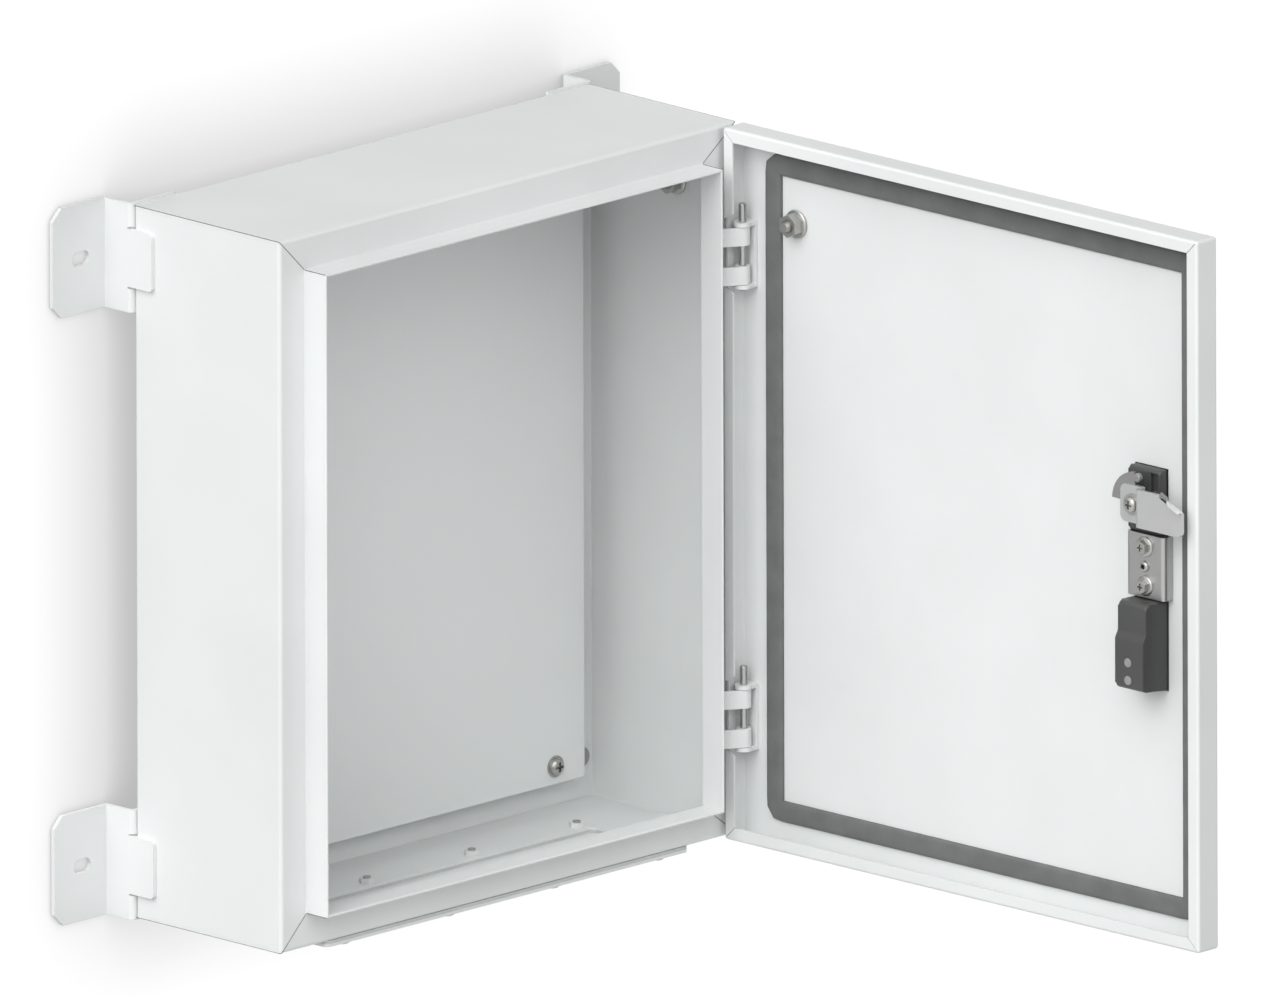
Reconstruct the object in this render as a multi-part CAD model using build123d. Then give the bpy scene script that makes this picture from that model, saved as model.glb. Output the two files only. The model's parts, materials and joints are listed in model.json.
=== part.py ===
from build123d import *
import math
import os

# Wall-mounted steel access control enclosure, shown with its door open.
# X runs right seen from the front, Y runs back to the wall, Z runs up.
# The origin is on the wall plane, at the centre of the four wall slots.

# Sheet-metal body
BODY_W = 400.0
BODY_H = 455.0
BODY_D = 126.0
SHEET = 1.5
BEND_R = 2.5
STRIP_LEFT = 22.2
STRIP_RIGHT = 29.0
STRIP_TOP = 22.0
LIP_OUT = 18.2
LIP_EDGE_ROUND = 0.6
MITRE_DEEP = 9.0

# Wall brackets
BRACKET_T = 3.0
STAND_OFF = 25.4
BRACKET_H = 70.0
BRACKET_FROM_END = 33.5
BRACKET_OUT = 47.2
BRACKET_CORNER = 7.5
BRACKET_BEND = 3.5
BRACKET_BACK_REACH = 36.0
TAB_H = 37.0
TAB_LEN = 18.0
TAB_CORNER = 3.0
TAB_RELIEF = 1.2
SLOT_LEN = 15.0
SLOT_R = 4.5
SLOT_OUT = 24.5
BRACKET_SCREW_IN = 28.0
BRACKET_SCREW_R = 3.0
BRACKET_SCREW_HEAD_R = 5.5
BRACKET_SCREW_HEAD_H = 3.2
BRACKET_NUT_AF = 10.0
BRACKET_NUT_H = 5.0

# Sealing plugs in the four rear wall holes
REAR_HOLE_R = 5.0
REAR_HOLE_IN = 10.6
REAR_HOLE_FROM_END = 27.5
REAR_PLUG_HEAD_R = 6.2
REAR_PLUG_HEAD_H = 1.4

# Mounting plate on its stand-offs
PLATE_SIDE_ROOM = 19.5
PLATE_END_ROOM = 19.0
PLATE_T = 2.5
PLATE_CORNER = 1.5
PLATE_SCREW_FROM_SIDE = 25.8
PLATE_SCREW_FROM_END = 11.3
STANDOFF_LEN = 9.0
STANDOFF_R = 6.0
PLATE_SCREW_R = 3.0
PLATE_SCREW_GRIP = 6.0
PLATE_SCREW_HEAD_R = 5.6
PLATE_SCREW_HEAD_H = 3.4
PLATE_WASHER_R = 6.8
PLATE_WASHER_T = 1.0

# Gland plate under the floor
GLAND_OPEN_W = 290.0
GLAND_OPEN_D = 56.0
GLAND_FRAME = 14.0
GLAND_CENTRE_BACK = 83.0
GLAND_T = 2.0
GLAND_SEAL_T = 2.0
GLAND_SCREW_R = 2.5
GLAND_HEAD_R = 4.7
GLAND_HEAD_H = 2.6
GLAND_COLUMNS = 4
GLAND_CORNER = 4.0
GLAND_NUT_AF = 8.0
GLAND_NUT_H = 3.0
THREAD_PAST = 1.0

# Earth studs
STUD_R = 4.0
STUD_LEN = 16.0
STUD_BASE_R = 6.0
STUD_BASE_H = 1.0
NUT_AF = 13.0
NUT_H = 8.0
NUT_FLANGE_R = 8.95
NUT_FLANGE_H = 1.6
BODY_STUD_BACK = 76.0
BODY_STUD_FROM_TOP = 46.5
DOOR_STUD_U = 47.0
DOOR_STUD_FROM_TOP = 56.5

# Door
DOOR_DEPTH = 18.5
DOOR_LIP = 8.5
DOOR_OVERHANG = 2.0
DOOR_GAP = 4.5
DOOR_CORNER = 2.0
MITRE_SLIT = 0.4
OPEN_DEG = 91.4

# Hinges
PIN_R = 2.5
PIN_FIT = 0.05
KNUCKLE_T = 2.15
HINGE_U = 8.9
HINGE_DEPTH = 10.05
HINGE_FROM_TOP = 81.5
HINGE_FROM_BOTTOM = 77.9
LEAF_T = 2.0
LEAF_ANGLE = 31.0
LEAF_H = 36.5
LEAF_WINDOW = 13.3
LEAF_FOOT_UP = 1.5
EAR_T = 2.5
EAR_GAP = 0.3
EAR_R = 5.6
WEB_T = 2.3
WEB_FROM_FLANGE = 0.5
PIN_ABOVE = 12.0
PIN_BELOW = 1.6
LIP_CUT_H = 51.0
LIP_CUT_RISE = 1.8
LIP_CUT_CHAMFER = 4.0
FLANGE_CUT_DEPTH = 15.5

# Door gasket, a foamed bead
GASKET_W = 11.5
GASKET_H = 3.0
GASKET_FROM_HINGE = 28.5
GASKET_FROM_FREE = 20.8
GASKET_FROM_END = 21.0
GASKET_CORNER = 9.0
GASKET_CROWN = 1.6

# Lock body and inner housings, seen from inside the door
LOCK_FROM_FREE = 52.7
LOCK_HALF_W = 11.8
LOCK_TOP = 71.2
LOCK_BOTTOM = -70.0
CUTOUT_GAP = 0.4
SPINDLE_Z = 51.0
UPPER_DEPTH = 16.7
UPPER_BOTTOM = 31.5
UPPER_INSET = 3.6
UPPER_ROUND = 4.0
UPPER_EDGE = 0.6
SHOULDER_DEPTH = 6.2
LOWER_TOP = -12.0
LOWER_DEPTH = 21.8
LOWER_DEEP = 24.5
LOWER_STEP_TOP = -31.5
LOWER_STEP_BOTTOM = -36.0
LOWER_STEP_ROUND = 1.0
LOWER_SLOPE = 3.0
HOUSING_ROUND = 1.8
HOUSING_SCREW_Z = (-49.9, -61.2)
HOUSING_SCREW_SHIFT = 1.0
HOUSING_SCREW_R = 3.2
HOUSING_SCREW_SUNK = 1.0
HOUSING_SCREW_PROUD = 0.4
HOUSING_SCREW_LEN = 14.0
HOUSING_SCREW_SHANK_R = 1.6

# Clamp channel that pulls the lock against the door
CLAMP_HALF_W = 16.1
CLAMP_TOP = 29.5
CLAMP_BOTTOM = -11.0
CLAMP_DEPTH = 9.7
CLAMP_T = 1.8
CLAMP_BEND = 2.8
CLAMP_SCREW_Z = (21.6, -3.4)
CLAMP_SCREW_R = 2.5
CLAMP_SCREW_LEN = 9.0
CLAMP_FLANGE_R = 6.6
CLAMP_FLANGE_H = 1.4
CLAMP_HEX_AF = 8.0
CLAMP_HEX_H = 3.6
CENTRE_SCREW_Z = 9.1
CENTRE_SCREW_R = 3.6
CENTRE_SCREW_H = 2.2
CENTRE_SCREW_CHAMFER = 0.7
CENTRE_SCREW_HOLE_R = 1.6
CENTRE_SCREW_SHANK_R = 2.4

# Spindle, stop claw and cam
SPINDLE_R = 7.0
SPINDLE_FIT = 0.06
SQUARE = 8.0
SQUARE_FIT = 0.05
CLAW_GAP = 0.2
CLAW_T = 1.5
CLAW_R = 19.7
CLAW_HUB_R = 9.0
CLAW_START_DEG = 92.0
CLAW_END_DEG = 178.0
RIVET_R = 2.8
RIVET_H = 1.4
RIVET_DEG = 83.0
CAM_T = 2.5
CAM_HUB_LEFT = 10.4
CAM_STEP = 7.6
CAM_BEND = 0.4
CAM_HALF_H = 12.0
CAM_HUB_ROUND = 4.5
CAM_CLEAR_STRIP = 0.6
CAM_TIP_FROM_FREE = 5.0
CAM_RAMP_RUN = 19.2
CAM_RAMP_DROP = 8.7
CAM_TIP_ROUND = 4.0
CAM_WASHER_R = 6.8
CAM_WASHER_T = 1.2
CAM_SCREW_R = 2.5
CAM_SCREW_LEN = 12.0
CAM_HEAD_R = 5.0
CAM_HEAD_H = 3.0

# Swing handle on the outside of the door
BASE_HALF_W = 20.0
BASE_TOP = 84.0
BASE_BOTTOM = -112.0
BASE_T = 9.0
BASE_ROUND = 2.0
BASE_CORNER = 11.0
SEAL_T = 1.0
SEAL_INSET = 1.5
SEAL_GAP = 0.8
HEAD_TOP = -47.0
HEAD_T = 12.9
HEAD_ROUND = 3.0
ROTOR_R = 12.5
ROTOR_T = 1.3
RUN_GAP = 0.3
LUG_HALF_W = 4.8
LUG_R = 5.0
LUG_GAP = 0.3
PIVOT_UP = 4.0
PIVOT_R = 2.0
LEVER_T = 11.0
LEVER_HALF_W = 13.0
LEVER_TIP_HALF_W = 10.5
LEVER_TIP = -44.0
LEVER_TIP_CORNER = 6.0
LEVER_TIP_SOLID = 10.0
LEVER_SLOT = 8.5
LEVER_EDGE = 2.0
LEVER_WALL = 2.5
LEVER_HOLLOW = 6.0
READER_Z = -90.0
READER_HALF_W = 12.0
READER_HALF_H = 14.0
READER_CORNER = 1.0
READER_T = 1.5
READER_PROUD = 0.4
CYL_Z = -62.0
CYL_R = 8.5
CYL_PROUD = 0.6
KEY_PLUG_R = 6.0
KEY_PLUG_FIT = 0.06
KEY_PLUG_PROUD = 0.3
KEYWAY_W = 1.6
KEYWAY_H = 7.5
KEYWAY_DEEP = 9.0

# How far a cutter runs past the faces that it opens
PAST = 1.0

# Places that follow from the sizes above
BRACKET_Z = BODY_H / 2 - BRACKET_FROM_END
SLOT_X = BODY_W / 2 + SLOT_OUT
REAR_HOLE_Z = BODY_H / 2 - REAR_HOLE_FROM_END
PLATE_W = BODY_W - 2 * PLATE_SIDE_ROOM
PLATE_H = BODY_H - 2 * PLATE_END_ROOM
PLATE_SCREW_X = PLATE_W / 2 - PLATE_SCREW_FROM_SIDE
PLATE_SCREW_Z = PLATE_H / 2 - PLATE_SCREW_FROM_END
DOOR_W = BODY_W + DOOR_OVERHANG
DOOR_H = BODY_H
BODY_STUD_Z = BODY_H / 2 - BODY_STUD_FROM_TOP
DOOR_STUD_Z = DOOR_H / 2 - DOOR_STUD_FROM_TOP
HINGE_Z = (DOOR_H / 2 - HINGE_FROM_TOP, HINGE_FROM_BOTTOM - DOOR_H / 2)
LOCK_U = DOOR_W - LOCK_FROM_FREE
CAM_TIP_U = DOOR_W - CAM_TIP_FROM_FREE
BACK_Y = -STAND_OFF
FRONT_Y = BACK_Y - BODY_D
IN_BACK_Y = BACK_Y - SHEET
SKIN_Y = FRONT_Y - DOOR_GAP - DOOR_DEPTH
HINGE_EDGE_X = BODY_W / 2 + DOOR_OVERHANG
AXIS_X = HINGE_EDGE_X - HINGE_U
AXIS_Y = SKIN_Y + HINGE_DEPTH
KNUCKLE_IN_R = PIN_R + PIN_FIT
KNUCKLE_R = KNUCKLE_IN_R + KNUCKLE_T
PLATE_BACK_Y = IN_BACK_Y - STANDOFF_LEN
PLATE_FRONT_Y = PLATE_BACK_Y - PLATE_T
CLAW_DEPTH = UPPER_DEPTH + CLAW_GAP
HUB_DEPTH = CLAW_DEPTH + CLAW_T
CAM_DEPTH = DOOR_DEPTH + DOOR_GAP + SHEET + CAM_CLEAR_STRIP
BASE_OUT = -SEAL_T - BASE_T
LEVER_IN = BASE_OUT - ROTOR_T - 2 * RUN_GAP
PIVOT_DEPTH = LEVER_IN - LEVER_T / 2
PIVOT_Z = SPINDLE_Z + PIVOT_UP
HEAD_OUT = BASE_OUT - HEAD_T
SHAPES = {}


def ux(u):
    """X of a point on the closed door, u from its hinge-side edge."""
    return HINGE_EDGE_X - u


def dy(depth):
    """Y of a point on the closed door, depth from its outer skin."""
    return SKIN_Y + depth


def block(x0, x1, y0, y1, z0, z1):
    """Box between two corners."""
    size = Box(abs(x1 - x0), abs(y1 - y0), abs(z1 - z0))
    return Pos((x0 + x1) / 2, (y0 + y1) / 2, (z0 + z1) / 2) * size


def door_block(u0, u1, d0, d1, z0, z1):
    """Box on the closed door."""
    return block(ux(u0), ux(u1), dy(d0), dy(d1), z0, z1)


def outline(points):
    """Flat face from corners; a third number rounds its corner."""
    face = make_face(Polyline(*[p[:2] for p in points], close=True))
    for point in points:
        if len(point) == 3:
            face = fillet(corners_at(face, point[0], point[1]), point[2])
    return face


def corners_at(face, x, y):
    """Corners of a flat face at one place."""
    return [v for v in face.vertices() if abs(v.X - x) < 0.01 and abs(v.Y - y) < 0.01]


def prism_z(face, z0, z1):
    """Face drawn in X and Y, raised from z0 to z1."""
    return Pos(0, 0, z0) * extrude(face, amount=z1 - z0)


def prism_y(face, y0, y1):
    """Face drawn in X and Z, run from y0 to y1."""
    near, far = min(y0, y1), max(y0, y1)
    stood = Plane((0, far, 0), x_dir=(1, 0, 0), z_dir=(0, -1, 0)) * face
    return extrude(stood, amount=far - near, dir=(0, -1, 0))


def prism_x(face, x0, x1):
    """Face drawn in Y and Z, run from x0 to x1."""
    near, far = min(x0, x1), max(x0, x1)
    stood = Plane((near, 0, 0), x_dir=(0, 1, 0), z_dir=(1, 0, 0)) * face
    return extrude(stood, amount=far - near, dir=(1, 0, 0))


def door_plate(points, d0, d1):
    """Plate on the closed door from (u, z) corners, between two depths."""
    return prism_y(outline([(ux(p[0]),) + tuple(p[1:]) for p in points]), dy(d0), dy(d1))


def rod_x(y, z, radius, x0, x1):
    """Round bar along X."""
    return Pos((x0 + x1) / 2, y, z) * Rot(0, 90, 0) * Cylinder(radius, abs(x1 - x0))


def rod_y(x, z, radius, y0, y1):
    """Round bar along Y."""
    return Pos(x, (y0 + y1) / 2, z) * Rot(90, 0, 0) * Cylinder(radius, abs(y1 - y0))


def rod_z(x, y, radius, z0, z1):
    """Round bar along Z."""
    return Pos(x, y, (z0 + z1) / 2) * Cylinder(radius, abs(z1 - z0))


def door_rod(u, z, radius, d0, d1):
    """Round bar square to the closed door."""
    return rod_y(ux(u), z, radius, dy(d0), dy(d1))


def hex_y(x, z, across, y0, y1):
    """Hexagon bar along Y."""
    return prism_y(Pos(x, z) * RegularPolygon(across / 2, 6, major_radius=False), y0, y1)


def pan_head(radius, height):
    """Domed screw head on the XY plane, pointing up."""
    head = Cylinder(radius, height, align=(Align.CENTER, Align.CENTER, Align.MIN))
    return fillet(head.edges().group_by(Axis.Z)[-1], height * 0.6)


def edges_at(part, axis, first, second):
    """Edges along an axis at one place of the plane across it."""
    found = []
    for edge in part.edges().filter_by(axis):
        mid = edge @ 0.5
        flat = {Axis.X: (mid.Y, mid.Z), Axis.Y: (mid.X, mid.Z), Axis.Z: (mid.X, mid.Y)}[axis]
        if abs(flat[0] - first) < 0.01 and abs(flat[1] - second) < 0.01:
            found.append(edge)
    return found


def edges_level(part, depth):
    """Edges that lie at one depth of the closed door."""
    return [e for e in part.edges() if all(abs((e @ t).Y - dy(depth)) < 0.01 for t in (0, 0.5, 1))]


def keep(name, shape, on_door=False):
    """Store a node; pieces of the door swing open about the hinge pins."""
    if on_door:
        shape = Pos(AXIS_X, AXIS_Y, 0) * Rot(0, 0, OPEN_DEG) * Pos(-AXIS_X, -AXIS_Y, 0) * shape
    SHAPES[name] = shape


def group(pieces):
    """Separate solids that share a node."""
    return Compound(children=list(pieces))


def four(piece):
    """A piece and its copies at the other three corners."""
    pair = [piece, mirror(piece, about=Plane.YZ)]
    return pair + [mirror(one, about=Plane.XY) for one in pair]


# Body shell

def folded_section(strip, depth):
    """Wall, front strip and lip; first axis runs inward, second back from the front."""
    wall = outline([(0, 0), (SHEET, 0), (SHEET, depth), (0, depth)])
    face = outline([(0, 0), (strip + SHEET, 0), (strip + SHEET, SHEET), (0, SHEET)])
    lip = outline([(strip, -LIP_OUT), (strip + SHEET, -LIP_OUT), (strip + SHEET, SHEET), (strip, SHEET)])
    section = wall + face + lip
    bends = [(0, 0, BEND_R), (SHEET, SHEET, BEND_R - SHEET)]
    bends += [(strip, 0, BEND_R - SHEET), (strip + SHEET, SHEET, BEND_R)]
    bends += [(strip, -LIP_OUT, LIP_EDGE_ROUND), (strip + SHEET, -LIP_OUT, LIP_EDGE_ROUND)]
    for a, b, radius in bends:
        section = fillet(corners_at(section, a, b), radius)
    return section


def mitre_zone(side):
    """The share of the front that belongs to one side, cut along the mitres."""
    out_x = BODY_W / 2
    out_z = BODY_H / 2
    left = -out_x + STRIP_LEFT
    right = out_x - STRIP_RIGHT
    top = out_z - STRIP_TOP
    far = MITRE_DEEP
    left_line = [(left, -top), (left + far, -top + far), (left + far, top - far), (left, top)]
    right_line = [(right, -top), (right - far, -top + far), (right - far, top - far), (right, top)]
    zones = {
        "left": [(-out_x, -out_z)] + left_line + [(-out_x, out_z)],
        "right": [(out_x, -out_z)] + right_line + [(out_x, out_z)],
        "top": [(-out_x, out_z), (left, top), (left + far, top - far),
                (right - far, top - far), (right, top), (out_x, out_z)],
    }
    return prism_y(outline(zones[side]), FRONT_Y - LIP_OUT - PAST, FRONT_Y + SHEET)


def body_wrap():
    """Back and both sides, bent from one sheet, with the side strips and lips of the front."""
    out_x = BODY_W / 2
    tall = BODY_H / 2 - SHEET
    shell = block(-out_x, out_x, IN_BACK_Y, BACK_Y, -tall, tall)
    for side, strip in (("left", STRIP_LEFT), ("right", STRIP_RIGHT)):
        section = Pos(-out_x, FRONT_Y) * folded_section(strip, BODY_D)
        profile = prism_z(section, -tall, tall)
        if side == "right":
            profile = mirror(profile, about=Plane.YZ)
        shell += profile & mitre_zone(side)
        shell += profile & block(-out_x, out_x, FRONT_Y + SHEET, BACK_Y, -tall, tall)
    for place, radius in ((0, BEND_R), (SHEET, BEND_R - SHEET)):
        bends = edges_at(shell, Axis.Z, out_x - place, BACK_Y - place)
        bends += edges_at(shell, Axis.Z, place - out_x, BACK_Y - place)
        shell = fillet(bends, radius)
    near, far = BACK_Y + PAST, IN_BACK_Y - PAST
    plug_hole = rod_y(out_x - REAR_HOLE_IN, REAR_HOLE_Z, REAR_HOLE_R, near, far)
    screw_hole = rod_y(out_x - BRACKET_SCREW_IN, BRACKET_Z, BRACKET_SCREW_R, near, far)
    for hole in four(plug_hole) + four(screw_hole):
        shell -= hole
    return shell


def end_panel():
    """Top panel with its own strip and lip, mitred into the side ones."""
    out_x = BODY_W / 2
    out_z = BODY_H / 2
    section = Pos(FRONT_Y, out_z) * Rot(0, 0, -90) * folded_section(STRIP_TOP, BODY_D)
    run = prism_x(section, -out_x, out_x)
    panel = run & mitre_zone("top")
    panel += run & block(-out_x, out_x, FRONT_Y, BACK_Y, out_z - SHEET, out_z)
    footprint = outline([(-out_x, FRONT_Y, BEND_R), (out_x, FRONT_Y, BEND_R),
                         (out_x, BACK_Y, BEND_R), (-out_x, BACK_Y, BEND_R)])
    low_z = out_z - 2 * STRIP_TOP
    room = prism_z(footprint, low_z, out_z)
    lips = block(-out_x + BEND_R, out_x - BEND_R, FRONT_Y - LIP_OUT, FRONT_Y + PAST, low_z, out_z)
    return panel & (room + lips)


def gland_place(column, row):
    """X and Y of a gland-plate screw."""
    step = (GLAND_OPEN_W - GLAND_FRAME) / (GLAND_COLUMNS - 1)
    x = (column - (GLAND_COLUMNS - 1) / 2) * step
    y = BACK_Y - GLAND_CENTRE_BACK + row * (GLAND_OPEN_D + GLAND_FRAME) / 2
    return x, y


def gland_rect(frame, corner, z0, z1):
    """Round-cornered plate centred on the gland opening, wider than it by a frame."""
    half_w, half_d = GLAND_OPEN_W / 2 + frame, GLAND_OPEN_D / 2 + frame
    centre = BACK_Y - GLAND_CENTRE_BACK
    return prism_z(outline([(-half_w, centre - half_d, corner), (half_w, centre - half_d, corner),
                            (half_w, centre + half_d, corner), (-half_w, centre + half_d, corner)]), z0, z1)


def make_body():
    top = end_panel()
    bottom = mirror(top, about=Plane.XY)
    under = -BODY_H / 2
    floor = under + SHEET
    seal_z = under - GLAND_SEAL_T
    plate_z = seal_z - GLAND_T
    nut_top = floor + GLAND_NUT_H
    opening = gland_rect(0, GLAND_CORNER, seal_z, floor)
    bottom -= opening
    seal = gland_rect(GLAND_FRAME, GLAND_CORNER, seal_z, under) - opening
    plate = gland_rect(GLAND_FRAME, GLAND_CORNER, plate_z, seal_z)
    screws, nuts = [], []
    for column in range(GLAND_COLUMNS):
        for row in (-1, 1):
            x, y = gland_place(column, row)
            bore = rod_z(x, y, GLAND_SCREW_R, plate_z, nut_top)
            bottom -= bore
            seal -= bore
            plate -= bore
            head = Pos(x, y, plate_z) * Rot(180, 0, 0) * pan_head(GLAND_HEAD_R, GLAND_HEAD_H)
            screws.append(head + rod_z(x, y, GLAND_SCREW_R, plate_z, nut_top + THREAD_PAST))
            hexagon = Pos(x, y) * RegularPolygon(GLAND_NUT_AF / 2, 6, major_radius=False)
            nuts.append(prism_z(hexagon, floor, nut_top) - bore)
    keep("body_wrap", body_wrap())
    keep("top_panel", top)
    keep("bottom_panel", bottom)
    keep("gland_seal", seal)
    keep("gland_plate", plate)
    keep("gland_screws", group(screws))
    keep("gland_nuts", group(nuts))


# Wall brackets and what closes the rear holes

def wall_bracket():
    """Top right bracket: wall plate, leg, tab on the side and leaf behind the back."""
    side = BODY_W / 2
    outer = side + BRACKET_T
    low, high = BRACKET_Z - BRACKET_H / 2, BRACKET_Z + BRACKET_H / 2
    end = side + BRACKET_T / 2 + BRACKET_OUT
    wall = prism_y(outline([(side, low), (end - BRACKET_CORNER, low), (end, low + BRACKET_CORNER),
                            (end, high - BRACKET_CORNER), (end - BRACKET_CORNER, high), (side, high)]),
                   -BRACKET_T, 0)
    leg = block(side, outer, BACK_Y, 0, low, high)
    leaf = block(side - BRACKET_BACK_REACH, outer, BACK_Y, BACK_Y + BRACKET_T, low, high)
    shape = wall + leg + leaf
    shape = fillet(edges_at(shape, Axis.Z, side, 0), BRACKET_BEND)
    shape = fillet(edges_at(shape, Axis.Z, outer, -BRACKET_T), BRACKET_BEND - BRACKET_T)
    shape = fillet(edges_at(shape, Axis.Z, outer, BACK_Y), BRACKET_BEND)
    window_h = TAB_H / 2 + TAB_RELIEF
    window = block(side - TAB_LEN, outer, BACK_Y - PAST, BACK_Y + BRACKET_T,
                   BRACKET_Z - window_h, BRACKET_Z + window_h)
    shape -= window
    tab = block(side, outer, BACK_Y - TAB_LEN, BACK_Y + BRACKET_T,
                BRACKET_Z - TAB_H / 2, BRACKET_Z + TAB_H / 2)
    ends = [e for e in tab.edges().filter_by(Axis.X) if (e @ 0.5).Y < BACK_Y]
    shape += fillet(ends, TAB_CORNER)
    straight = SLOT_LEN - 2 * SLOT_R
    slot = Pos(SLOT_X, BRACKET_Z) * SlotCenterToCenter(straight, 2 * SLOT_R)
    shape -= prism_y(slot, -BRACKET_T - PAST, PAST)
    return shape - rod_y(side - BRACKET_SCREW_IN, BRACKET_Z, BRACKET_SCREW_R,
                         BACK_Y - PAST, BACK_Y + BRACKET_T + PAST)


def make_wall_fixings():
    right_top, left_top, right_low, left_low = four(wall_bracket())
    keep("wall_bracket_top_right", right_top)
    keep("wall_bracket_top_left", left_top)
    keep("wall_bracket_bottom_right", right_low)
    keep("wall_bracket_bottom_left", left_low)
    x = BODY_W / 2 - BRACKET_SCREW_IN
    nut_y = BACK_Y + BRACKET_T
    nut_end = nut_y + BRACKET_NUT_H
    head = pan_head(BRACKET_SCREW_HEAD_R, BRACKET_SCREW_HEAD_H)
    head = Pos(x, IN_BACK_Y, BRACKET_Z) * Rot(90, 0, 0) * head
    shank = rod_y(x, BRACKET_Z, BRACKET_SCREW_R, IN_BACK_Y, nut_end + THREAD_PAST)
    nut = hex_y(x, BRACKET_Z, BRACKET_NUT_AF, nut_y, nut_end)
    nut -= rod_y(x, BRACKET_Z, BRACKET_SCREW_R, nut_y - PAST, nut_end + PAST)
    keep("bracket_screws", group(four(head + shank)))
    keep("bracket_nuts", group(four(nut)))
    plug_x = BODY_W / 2 - REAR_HOLE_IN
    cap = Pos(plug_x, IN_BACK_Y, REAR_HOLE_Z) * Rot(90, 0, 0) * pan_head(REAR_PLUG_HEAD_R, REAR_PLUG_HEAD_H)
    stem = rod_y(plug_x, REAR_HOLE_Z, REAR_HOLE_R, IN_BACK_Y, BACK_Y)
    keep("rear_hole_plugs", group(four(cap + stem)))


# Mounting plate

def make_mounting_plate():
    half_w, half_h = PLATE_W / 2, PLATE_H / 2
    plate = prism_y(outline([(-half_w, -half_h, PLATE_CORNER), (half_w, -half_h, PLATE_CORNER),
                             (half_w, half_h, PLATE_CORNER), (-half_w, half_h, PLATE_CORNER)]),
                    PLATE_BACK_Y, PLATE_FRONT_Y)
    x, z = PLATE_SCREW_X, PLATE_SCREW_Z
    tip_y = PLATE_BACK_Y + PLATE_SCREW_GRIP
    bore = rod_y(x, z, PLATE_SCREW_R, PLATE_FRONT_Y - PAST, tip_y)
    for hole in four(bore):
        plate -= hole
    standoff = rod_y(x, z, STANDOFF_R, IN_BACK_Y, PLATE_BACK_Y) - bore
    washer_y = PLATE_FRONT_Y - PLATE_WASHER_T
    washer = rod_y(x, z, PLATE_WASHER_R, PLATE_FRONT_Y, washer_y)
    washer -= rod_y(x, z, PLATE_SCREW_R, PLATE_FRONT_Y + PAST, washer_y - PAST)
    head = Pos(x, washer_y, z) * Rot(90, 0, 0) * pan_head(PLATE_SCREW_HEAD_R, PLATE_SCREW_HEAD_H)
    keep("mounting_plate", plate)
    keep("plate_standoffs", group(four(standoff)))
    keep("plate_washers", group(four(washer)))
    keep("plate_screws", group(four(head + rod_y(x, z, PLATE_SCREW_R, washer_y, tip_y))))


# Earth studs with their flange nuts

def stud_pair():
    """Stud and nut on the XY plane, pointing up."""
    base = Cylinder(STUD_BASE_R, STUD_BASE_H, align=(Align.CENTER, Align.CENTER, Align.MIN))
    rod = Cylinder(STUD_R, STUD_LEN, align=(Align.CENTER, Align.CENTER, Align.MIN))
    rod = chamfer(rod.edges().group_by(Axis.Z)[-1], STUD_R / 6)
    flange = Pos(0, 0, STUD_BASE_H) * Cylinder(
        NUT_FLANGE_R, NUT_FLANGE_H, align=(Align.CENTER, Align.CENTER, Align.MIN))
    hexagon = prism_z(RegularPolygon(NUT_AF / 2, 6, major_radius=False), STUD_BASE_H, STUD_BASE_H + NUT_H)
    bore = Cylinder(STUD_R, 2 * STUD_LEN)
    return base + rod, flange + hexagon - bore


def make_body_earth():
    stud, nut = stud_pair()
    place = Pos(BODY_W / 2 - SHEET, BACK_Y - BODY_STUD_BACK, BODY_STUD_Z) * Rot(0, -90, 0)
    keep("body_earth_stud", place * stud)
    keep("body_earth_nut", place * nut)


# Hinges

def leaf_section():
    """Hinge leaf in the XY plane: foot on the lip, slanted web and knuckle round the pin."""
    foot_x = BODY_W / 2 - STRIP_RIGHT
    slant = math.radians(LEAF_ANGLE)
    along = Vector(math.cos(slant), -math.sin(slant))
    outward = Vector(-math.sin(slant), -math.cos(slant))
    axis = Vector(AXIS_X, AXIS_Y)
    touch_out = axis + outward * KNUCKLE_R
    touch_in = axis + outward * (KNUCKLE_R - LEAF_T)
    foot_in_x = foot_x + LEAF_T
    start_out = touch_out - along * ((touch_out.X - foot_x) / along.X)
    start_in = touch_in - along * ((touch_in.X - foot_in_x) / along.X)
    foot_y = FRONT_Y - LEAF_FOOT_UP
    web = outline([(foot_x, foot_y), (foot_in_x, foot_y), (start_in.X, start_in.Y),
                   (touch_in.X, touch_in.Y), (touch_out.X, touch_out.Y), (start_out.X, start_out.Y)])
    web = fillet(corners_at(web, start_in.X, start_in.Y), BEND_R - SHEET)
    knuckle = Pos(AXIS_X, AXIS_Y) * Circle(KNUCKLE_R)
    bore = Pos(AXIS_X, AXIS_Y) * Circle(KNUCKLE_IN_R)
    return web, knuckle, bore


def hinge_leaf(middle):
    web, knuckle, bore = leaf_section()
    low, high = middle - LEAF_H / 2, middle + LEAF_H / 2
    leaf = prism_z(web + knuckle - bore, low, high)
    foot_edge = BODY_W / 2 - STRIP_RIGHT + LEAF_T + SHEET
    window = block(foot_edge, HINGE_EDGE_X, AXIS_Y - 2 * KNUCKLE_R, FRONT_Y,
                   middle - LEAF_WINDOW / 2, middle + LEAF_WINDOW / 2)
    return leaf - window


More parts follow.
